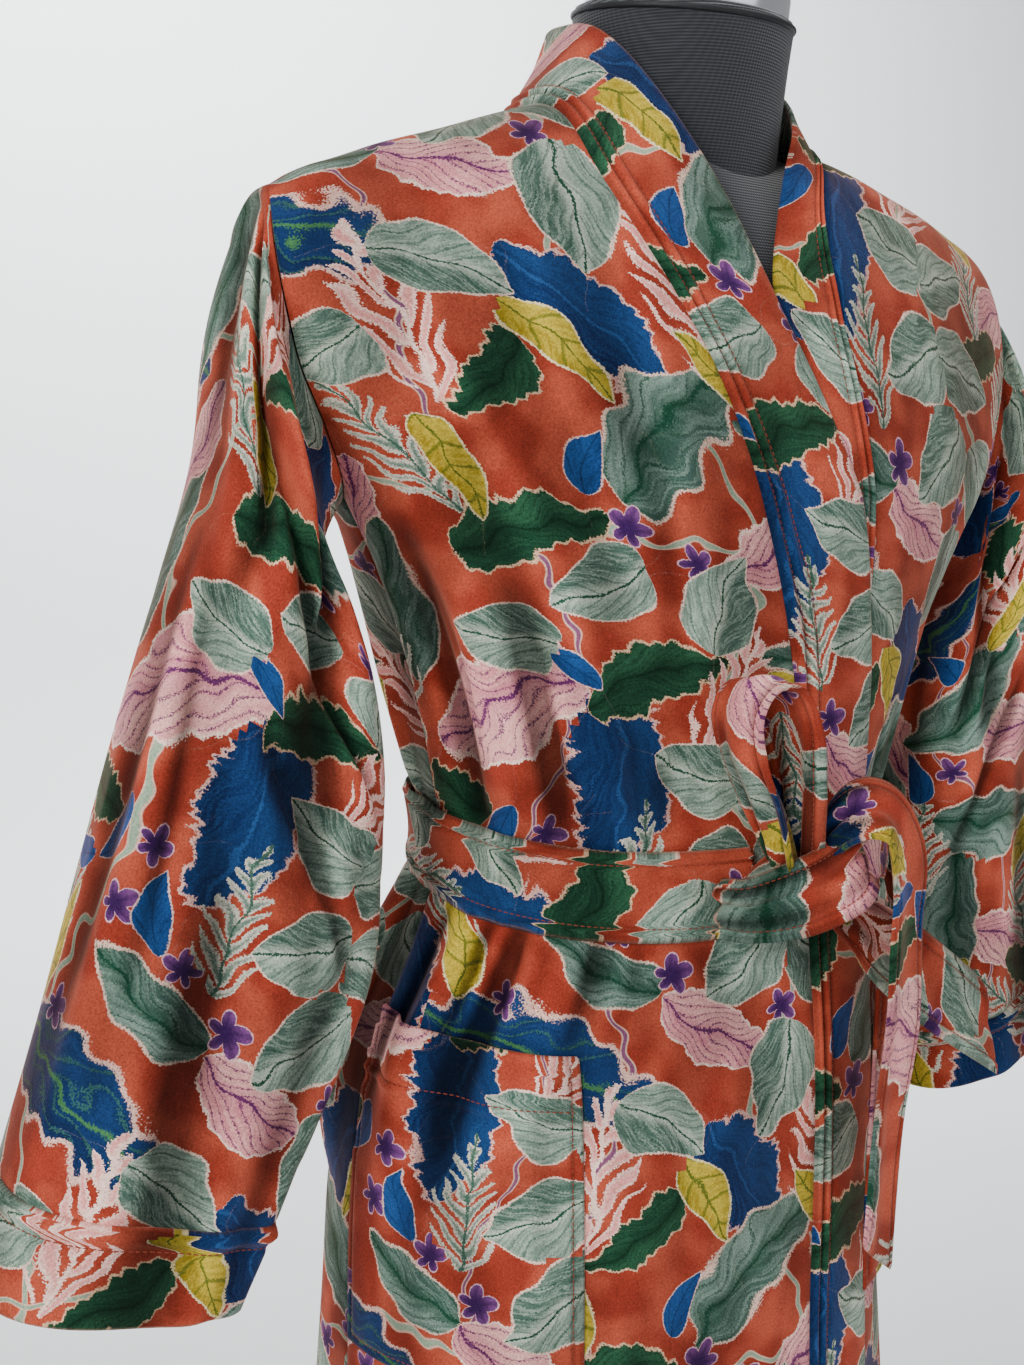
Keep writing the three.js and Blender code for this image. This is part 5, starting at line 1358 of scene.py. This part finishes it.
def place_print(mesh, loop_uv):
    """Lays the motifs on a piece: each face holds, for each layer, coordinates on its nearest motif."""
    shift = next(row[1:] for row in PRINT_SHIFTS if mesh.name.startswith(row[0]))
    flat = np.asarray(loop_uv, float).reshape(-1, 2) * 100 + np.array(shift)
    starts = np.empty(len(mesh.polygons), int)
    totals = np.empty(len(mesh.polygons), int)
    mesh.polygons.foreach_get("loop_start", starts)
    mesh.polygons.foreach_get("loop_total", totals)
    centres = np.add.reduceat(flat, starts) / totals[:, None]
    owner = np.repeat(np.arange(len(starts)), totals)
    for layer, groups in LAYERS.items():
        motifs = [(group[0],) + spot for group in groups for spot in group[1:]]
        middle = np.array([m[1:3] for m in motifs], float)
        turn = np.radians([m[3] for m in motifs])
        half = np.array([m[4] for m in motifs], float)
        kinds = [m[0] for m in motifs]
        width = np.array([KINDS[k]["half_width"] if k in KINDS else FINE_WIDTH[k] for k in kinds])
        code = np.array([CODES[k] if k in CODES else FINE_CODES[k] for k in kinds])
        away = centres[:, None] - middle[None]
        wraps = np.round(away / REPEAT)
        away = away - wraps * REPEAT
        along = (away[..., 0] * np.cos(turn) + away[..., 1] * np.sin(turn)) / half
        beside = (away[..., 1] * np.cos(turn) - away[..., 0] * np.sin(turn)) / (half * width * 1.2)
        outside = (np.hypot(along, beside) - 1) * half * np.sqrt(width)
        best = outside.argmin(1)
        chosen = best[owner]
        off = flat - middle[chosen] - (wraps[np.arange(len(best)), best] * REPEAT)[owner]
        cosine = np.cos(turn)[chosen]
        sine = np.sin(turn)[chosen]
        local = np.stack([
            (off[:, 0] * cosine + off[:, 1] * sine) / half[chosen],
            (off[:, 1] * cosine - off[:, 0] * sine) / half[chosen],
            code[chosen],
        ], -1)
        data = mesh.attributes.new(layer, "FLOAT_VECTOR", "CORNER").data
        data.foreach_set("vector", local.astype(np.float32).ravel())


def by_kind(n, code, values):
    """A colour or three numbers for each kind of leaf, looked up by the kind's code."""
    node = n.tree.nodes.new("ShaderNodeValToRGB")
    ramp = node.color_ramp
    ramp.interpolation = "CONSTANT"
    for k, value in enumerate(values):
        spot = ramp.elements[0] if k == 0 else ramp.elements.new(k / len(values))
        spot.position = k / len(values)
        spot.color = tuple(value[:3]) + (1.0,)
    ramp.elements.remove(ramp.elements[-1])
    n.feed(node.inputs[0], code)
    return node.outputs[0]


WIDTH_UNIT = 3.0
TEETH_UNIT = 16.0
RAY_UNIT = 10.0


def peak(kind):
    base, tip = kind["base"], kind["tip"]
    return (base / (base + tip)) ** base * (tip / (base + tip)) ** tip


def leaf(n, colour, layer, wobble):
    """One layer of leaves: an arched outline with teeth, a pale rim, side veins and a midrib."""
    x, y, code = n.split(n.vector("ADD", n.attribute(layer), wobble))
    kinds = list(KINDS.values())
    tooth_gain = 2 * TEETH_UNIT / WIDTH_UNIT
    form = by_kind(n, code, [(k["half_width"] / peak(k) / WIDTH_UNIT, k["base"], k["tip"]) for k in kinds])
    edge = by_kind(
        n, code, [(k["serration"] * tooth_gain, k["teeth"] / TEETH_UNIT, k["slant"] / 2) for k in kinds]
    )
    veins = by_kind(n, code, [(k["rays"] / RAY_UNIT, k["bend"] + 0.5, k["thin"]) for k in kinds])
    width_share, base, tip = n.split(form)
    serration, teeth, slant = n.split(edge)
    rays, bend, thin = n.split(veins)
    share = n.math("MULTIPLY_ADD", x, 0.5, 0.5, clamp=True)
    rise = n.math("POWER", share, base)
    fall = n.math("POWER", n.math("SUBTRACT", 1.0, share), tip)
    arch = n.times(n.times(rise, fall), width_share)
    tooth = n.zigzag(n.times(share, teeth), 0.5 / TEETH_UNIT)
    width = n.line(tooth, serration, arch)
    bow = n.line(x, x, -0.5)
    bent = n.line(bow, n.math("SUBTRACT", bend, 0.5), y)
    off = n.math("ABSOLUTE", bent)
    inside = n.math("SUBTRACT", n.times(width, WIDTH_UNIT), off)
    body = n.range(inside, -0.006, 0.012)
    rim = n.range(inside, 0.03, 0.052, 1.0, 0.0)
    along = n.line(n.times(off, slant), -2.0, share)
    streak = n.noise(n.join(along, n.times(bent, 0.2)), 26.0, 1.0, 0.6, flat=True)
    ray = n.zigzag(n.times(along, rays), 0.5 / RAY_UNIT)
    ray = n.times(n.range(ray, 0.003, 0.011, 1.0, 0.0), thin)
    lines = n.math("MAXIMUM", ray, n.range(off, 0.012, 0.03, 1.0, 0.0))
    half = n.range(bent, -0.1, 0.1, 0.0, 0.45)
    tone = n.math("ADD", n.range(streak, 0.38, 0.66, 0.0, 0.7), half, clamp=True)
    inner = n.mix(
        tone,
        by_kind(n, code, [linear(k["fills"][0]) for k in kinds]),
        by_kind(n, code, [linear(k["fills"][1]) for k in kinds]),
    )
    core = by_kind(n, code, [linear(k["core"]) for k in kinds])
    inner = n.mix(n.range(off, 0.02, 0.2, 0.7, 0.0), inner, core)
    inner = n.mix(lines, inner, by_kind(n, code, [linear(k["vein"]) for k in kinds]))
    inner = n.mix(rim, inner, by_kind(n, code, [linear(k["rim"]) for k in kinds]))
    return n.mix(body, colour, inner)


def fern(n, share, off, within):
    """Ferns: lobed leaflets on both sides of a fine stem, shorter toward the tip."""
    reach = n.times(n.math("SINE", n.times(n.math("POWER", share, 0.7), math.pi)), 0.46)
    along = n.line(off, -0.62, share)
    saw = n.zigzag(n.times(along, 7.5), 0.5)
    taper = n.math("DIVIDE", off, n.math("MAXIMUM", reach, 0.01))
    lobes = n.zigzag(n.times(off, 22.0), 0.5)
    wide = n.line(taper, -0.3, 0.42)
    wide = n.line(lobes, 0.14, wide)
    inside = n.math("SUBTRACT", wide, saw)
    body = n.times(n.range(inside, 0.0, 0.04), n.math("LESS_THAN", taper, 1.0))
    body = n.times(body, within)
    inner = n.mix(n.range(inside, 0.08, 0.34), linear("C9C4B4"), linear("64796C"))
    stem = n.times(n.math("LESS_THAN", off, 0.02), within)
    return n.math("MAXIMUM", body, stem), n.mix(stem, inner, linear("3B5A4C"))


def spray(n, y, share, off, within):
    """Sprays of narrow pink leaflets, each a pointed blade."""
    side = n.times(n.math("GREATER_THAN", y, 0.0), 0.5)
    reach = n.times(n.math("SINE", n.times(n.math("POWER", share, 0.8), math.pi)), 0.5)
    along = n.line(off, -0.95, share)
    saw = n.zigzag(n.line(along, 5.0, side), 0.5)
    taper = n.math("DIVIDE", off, n.math("MAXIMUM", reach, 0.01), clamp=True)
    blade = n.math("SINE", n.times(n.math("POWER", taper, 0.75), math.pi))
    inside = n.line(blade, 0.34, n.times(saw, -1.0))
    body = n.times(n.range(inside, 0.0, 0.03), n.math("LESS_THAN", taper, 0.99))
    body = n.times(body, within)
    stem = n.times(n.math("LESS_THAN", off, 0.028), within)
    inner = n.mix(n.range(inside, 0.03, 0.25), linear("F0CBBE"), linear("DF958F"))
    return n.math("MAXIMUM", body, stem), inner


def violet(n, x, y):
    """Small flowers of five broad petals with a dark eye."""
    radius = n.vector("LENGTH", n.join(x, y))
    angle = n.math("ARCTAN2", y, x)
    petal = n.math("ABSOLUTE", n.math("COSINE", n.times(angle, 2.5)))
    uneven = n.line(n.math("COSINE", angle), 0.14, 0.36)
    reach = n.line(petal, 0.42, uneven)
    inside = n.math("SUBTRACT", reach, radius)
    inner = n.mix(n.range(radius, 0.15, 0.8), linear("34184A"), linear("76447E"))
    inner = n.mix(n.range(petal, 0.9, 1.0, 0.0, 0.45), inner, linear("2C1440"))
    inner = n.mix(n.range(inside, 0.05, 0.09, 1.0, 0.0), inner, linear("D9A9B4"))
    return n.range(inside, 0.0, 0.03), inner


def fine_motifs(n, colour, wobble):
    x, y, code = n.split(n.vector("ADD", n.attribute("print_fine"), wobble))
    share = n.math("MULTIPLY_ADD", x, 0.5, 0.5, clamp=True)
    off = n.math("ABSOLUTE", y)
    within = n.math("LESS_THAN", n.math("ABSOLUTE", x), 0.99)
    fern_body, fern_colour = fern(n, share, off, within)
    spray_body, spray_colour = spray(n, y, share, off, within)
    violet_body, violet_colour = violet(n, x, y)
    past_fern = n.math("GREATER_THAN", code, 0.25)
    past_spray = n.math("GREATER_THAN", code, 0.75)
    body = n.mix(past_spray, n.mix(past_fern, fern_body, spray_body, "FLOAT"), violet_body, "FLOAT")
    inner = n.mix(past_spray, n.mix(past_fern, fern_colour, spray_colour), violet_colour)
    return n.mix(body, colour, inner)


STEMS = (
    # centre line, sway, waves in a repeat, phase, along the length, half width, colour
    (21.4, 2.3, 2, 1.1, True, 0.14, "8C9F88"),
    (10.6, 1.9, 2, 2.6, True, 0.09, "7B4A6A"),
    (3.0, 1.8, 1, 0.9, False, 0.1, "8C9F88"),
)


def stems(n, colour, place):
    """Fine wavy stems that link the motifs, each with a pale edge."""
    x, y, _ = n.split(place)
    for start, sway, waves, phase, upright, half, code in STEMS:
        along = y if upright else x
        other = x if upright else y
        period = float(REPEAT[1] if upright else REPEAT[0])
        size = float(REPEAT[0] if upright else REPEAT[1])
        line = n.math("SINE", n.line(along, 2 * math.pi * waves / period, phase))
        line = n.line(line, sway, start)
        off = n.math("WRAP", n.math("SUBTRACT", other, line), size / 2, -size / 2)
        off = n.math("ABSOLUTE", off)
        colour = n.mix(n.range(off, half + 0.04, half + 0.09, 0.8, 0.0), colour, linear("DDB9A4"))
        colour = n.mix(n.range(off, half - 0.03, half + 0.02, 1.0, 0.0), colour, linear(code))
    return colour


def velvet():
    n = Nodes("velvet")
    spot = n.spot()
    moved = n.vector("MULTIPLY", n.uv("cloth"), (100.0, 100.0, 0.0))
    swing = n.vector("SUBTRACT", n.noise(moved, 0.55, 0.0, colour=True, flat=True), (0.5, 0.5, 0.5))
    pile = n.vector("SUBTRACT", n.noise(moved, 9.0, 0.0, colour=True, flat=True), (0.5, 0.5, 0.5))
    place = n.vector("MULTIPLY_ADD", swing, (1.3, 1.3, 0.0), moved)
    fuzz = n.vector("MULTIPLY", pile, (0.04, 0.05, 0.0))
    wobble = n.vector("MULTIPLY_ADD", swing, (0.26, 0.26, 0.0), fuzz)
    tone = n.noise(moved, 0.3, 1.0, 0.6, flat=True)
    colour = n.mix(n.range(tone, 0.35, 0.65), linear(GROUND[0]), linear(GROUND[1]))
    colour = stems(n, colour, place)
    colour = leaf(n, colour, "print_under", wobble)
    colour = leaf(n, colour, "print_middle", wobble)
    colour = fine_motifs(n, colour, wobble)
    colour = leaf(n, colour, "print_over", wobble)
    crush = n.noise(n.vector("MULTIPLY", spot, (1.0, 1.0, 0.45)), 24.0, 2.0, 0.62)
    grain = n.noise(spot, 1000.0, 1.0, 0.6)
    shade = n.times(n.range(crush, 0.32, 0.68, 0.66, 1.2), n.line(grain, 1.2, 0.4))
    # Painted shade: the colour is darkened in the hollows of the folds and the knot's grooves and lightened
    # on their ridges
    shade = n.times(shade, n.attribute("pile_shade", "Fac"))
    shaded = n.vector("SCALE", colour)
    n.feed(shaded.node.inputs["Scale"], shade)
    fine = n.bump(grain, 0.4, 0.0007)
    soft = n.bump(n.noise(spot, 60.0, 1.0, 0.55), 0.35, 0.0024, fine)
    n.surface(
        Base_Color=shaded, Roughness=0.92, Normal=soft, Sheen_Weight=0.3, Sheen_Roughness=0.35,
        Sheen_Tint=linear("F0B79E"), Specular_IOR_Level=0.1,
    )
    return n.material


def form_cloth():
    """Fine ribbed dark cloth of the dress form."""
    n = Nodes("form_cloth")
    spot = n.spot()
    x, y, z = n.split(spot)
    rib = n.math("SINE", n.times(z, 2 * math.pi / 0.0016))
    cross = n.math("SINE", n.times(n.math("ADD", x, y), 2 * math.pi / 0.0021))
    weave = n.line(cross, 0.35, rib)
    patch = n.noise(spot, 40.0, 3.0)
    colour = n.mix(patch, linear("1B1D20"), linear("2C2E33"))
    colour = n.mix(n.range(weave, -0.4, 1.0), colour, linear("3A3D43"))
    n.surface(
        Base_Color=colour, Roughness=0.78, Sheen_Weight=0.3, Sheen_Roughness=0.5,
        Normal=n.bump(weave, 0.5, 0.0004), Specular_IOR_Level=0.25,
    )
    return n.material


def speckled(name, scale, detail, dark, light, rough, depth, shine):
    """A plain finish of two close tones; made once, and shared by the pieces that ask for it again."""
    if name in bpy.data.materials:
        return bpy.data.materials[name]
    n = Nodes(name)
    speck = n.noise(n.spot(), scale, detail)
    normal = n.bump(speck, 0.3, depth)
    colour = n.mix(speck, linear(dark), linear(light))
    n.surface(Base_Color=colour, Roughness=rough, Normal=normal, Specular_IOR_Level=shine)
    return n.material


def thread():
    """Rust sewing thread, twisted."""
    return speckled("thread", 1800.0, 1.0, "6E2418", "9A4632", 0.6, 0.0002, 0.3)


def piping_cloth():
    return speckled("piping", 900.0, 2.0, "0E0F11", "202226", 0.55, 0.0003, 0.4)


def metal():
    """Bright polished metal with faint brushing and fingerprints."""
    n = Nodes("polished_metal")
    spot = n.spot()
    smear = n.noise(spot, 18.0, 4.0, 0.6)
    brush = n.noise(n.vector("MULTIPLY", spot, (300.0, 300.0, 20.0)), 3.0, 2.0)
    rough = n.line(smear, 0.16, 0.1)
    colour = n.mix(smear, linear("C9CBCE"), linear("E4E5E7"))
    n.surface(Base_Color=colour, Metallic=1.0, Roughness=rough, Normal=n.bump(brush, 0.04, 0.0004))
    return n.material


def base_paint():
    n = Nodes("base_paint")
    spot = n.spot()
    speck = n.noise(spot, 420.0, 3.0, 0.6)
    wear = n.noise(spot, 9.0, 4.0, 0.6)
    colour = n.mix(wear, linear("1D1E20"), linear("2A2B2E"))
    rough = n.line(speck, 0.2, 0.42)
    n.surface(Base_Color=colour, Roughness=rough, Normal=n.bump(speck, 0.25, 0.0003), Specular_IOR_Level=0.4)
    return n.material


def plain_wall():
    n = Nodes("studio_wall")
    spot = n.spot()
    tone = n.noise(spot, 0.8, 2.0)
    colour = n.mix(tone, linear("F0F1F3"), linear("F5F6F7"))
    n.surface(Base_Color=colour, Roughness=0.95, Specular_IOR_Level=0.1)
    return n.material


WALL_AWAY = 4.8
WALL_BEND = 0.7
WALL_HEIGHT = 5.5
WALL_HALF_WIDTH = 6.5


def stage(material):
    """A pale floor that curves up into a backdrop."""
    bend = WALL_BEND
    profile = [(-WALL_AWAY, 0.0), (WALL_AWAY - bend, 0.0)]
    for turn in np.linspace(0.1, math.pi / 2, 14):
        profile.append((WALL_AWAY - bend + bend * math.sin(turn), bend - bend * math.cos(turn)))
    profile.append((WALL_AWAY, WALL_HEIGHT))
    points = []
    for x in (-WALL_HALF_WIDTH, WALL_HALF_WIDTH):
        points += [(x, y, z - 0.0005) for y, z in profile]
    count = len(profile)
    faces = [[k, k + count, k + 1 + count, k + 1] for k in range(count - 1)]
    mesh = bpy.data.meshes.new("studio_floor")
    mesh.from_pydata(points, [], faces)
    mesh.polygons.foreach_set("use_smooth", np.ones(len(faces), bool))
    mesh.materials.append(material)
    floor = bpy.data.objects.new("studio_floor", mesh)
    bpy.context.scene.collection.objects.link(floor)


# Lamps: name, place, what they point at, size, power, colour
LAMPS = (
    ("key", (-3.0, -1.7, 2.3), (0, 0, 1.1), (1.3, 1.6), 104, (1.0, 0.985, 0.96)),
    ("fill", (1.6, -3.2, 1.6), (0, 0, 1.0), (2.2, 2.4), 18, (0.95, 0.97, 1.0)),
    ("top", (0.2, -0.3, 3.4), (0, 0, 0.9), (2.0, 1.6), 22, (1, 1, 1)),
    ("wall", (1.6, 2.2, 3.9), (2.9, 4.8, 1.7), (5.0, 0.8), 430, (0.97, 0.985, 1.0)),
)


def area_light(name, place, aim, size, power, colour):
    data = bpy.data.lights.new(name, "AREA")
    data.shape = "RECTANGLE"
    data.size, data.size_y = size
    data.energy = power
    data.color = colour
    lamp = bpy.data.objects.new(name, data)
    lamp.location = place
    lamp.visible_camera = False
    lamp.rotation_euler = (Vector(aim) - Vector(place)).to_track_quat("-Z", "Y").to_euler()
    bpy.context.scene.collection.objects.link(lamp)


LENS = 41.93
SENSOR_WIDTH = 36.0
CAMERA_PLACE = (-0.55958, -0.75119, 1.23540)
CAMERA_TURN = math.radians(-32)
CAMERA_CLIMB = math.radians(6.7)


def camera():
    data = bpy.data.cameras.new("camera")
    data.lens = LENS
    data.sensor_width = SENSOR_WIDTH
    data.dof.use_dof = False
    eye = bpy.data.objects.new("camera", data)
    level = math.cos(CAMERA_CLIMB)
    back = Vector((math.sin(CAMERA_TURN) * level, -math.cos(CAMERA_TURN) * level, math.sin(CAMERA_CLIMB)))
    eye.location = CAMERA_PLACE
    eye.rotation_euler = (-back).to_track_quat("-Z", "Y").to_euler()
    bpy.context.scene.collection.objects.link(eye)
    bpy.context.scene.camera = eye


camera()
ground = velvet()
body_back(ground)
body_front("robe_front_right", "front_right", ground, True)
body_front("robe_front_left", "front_left", ground, False)
neck_band(ground)
sleeve("sleeve_near", "sleeve_right", "cuff_near", "cuff_right", RIGHT_SLEEVE, RIGHT_SLEEVE_FOLDS, 1,
       (0.0, 0.06), ground)
sleeve("sleeve_far", "sleeve_left", "cuff_far", "cuff_left", LEFT_SLEEVE, LEFT_SLEEVE_FOLDS, -1,
       (0.13, 0.2), ground)
pocket("pocket_near", "pocket_right", 1, (0.0, 0.02), ground)
pocket("pocket_far", "pocket_left", -1, (0.2, 0.1), ground)
belt_waist(ground)
knot = lump("knot", KNOT_CENTRE, KNOT_HALF, KNOT_SLOPE, KNOT_POWER, 0.035, ground)
own(knot, "belt_knot")
strap("belt_loop_cloth", "belt_loop", LOOP_ROUTE, 90, 0, 1.5, (0.12, 0.0), ground)
strap("belt_tail_long_cloth", "belt_tail_long", LONG_TAIL_ROUTE, 90, 30, 1.2, (0.02, 0.1), ground)
strap("belt_tail_short_cloth", "belt_tail_short", SHORT_TAIL_ROUTE, 64, -34, 1.2, (0.21, 0.0), ground)
strap("belt_wrap", None, WRAP_ROUTE, 40, 0, 2.2, (0.25, 0.3), ground)

form_fabric = form_cloth()
own(form_torso(form_fabric), "form_torso")
own(form_neck(form_fabric), "form_neck")
black = piping_cloth()
for label, radius, tube, rise in (("rim", 60.2, 1.7, 0.965), ("seam", 61.0, 1.2, 0.03)):
    own(torus_band("neck_piping_" + label, radius, tube, rise, black))
chrome = metal()
neck_top = neck_spot(np.array([0.0, math.pi]), 1.0, 0.0).mean(0)
cap = ring_mesh("neck_cap_top", lathe_rings(rounded(CAP_PROFILE), 96, neck_top, NECK_LEAN), chrome)
own(cap, "neck_cap")
pole_rings = lathe_rings([(POLE_RADIUS, 14.3), (POLE_RADIUS, 799.7)], 48, np.zeros(3))
own(ring_mesh("form_pole", pole_rings, chrome), "pole")
foot = ring_mesh("form_base", lathe_rings(rounded(BASE_PROFILE), 120, np.zeros(3)), base_paint())
own(foot, "base")

stage(plain_wall())
for lamp_row in LAMPS:
    area_light(*lamp_row)
world = bpy.data.worlds.new("studio")
world.use_nodes = True
background = world.node_tree.nodes["Background"]
background.inputs["Color"].default_value = (0.93, 0.95, 0.97, 1)
background.inputs["Strength"].default_value = 0.4
bpy.context.scene.world = world
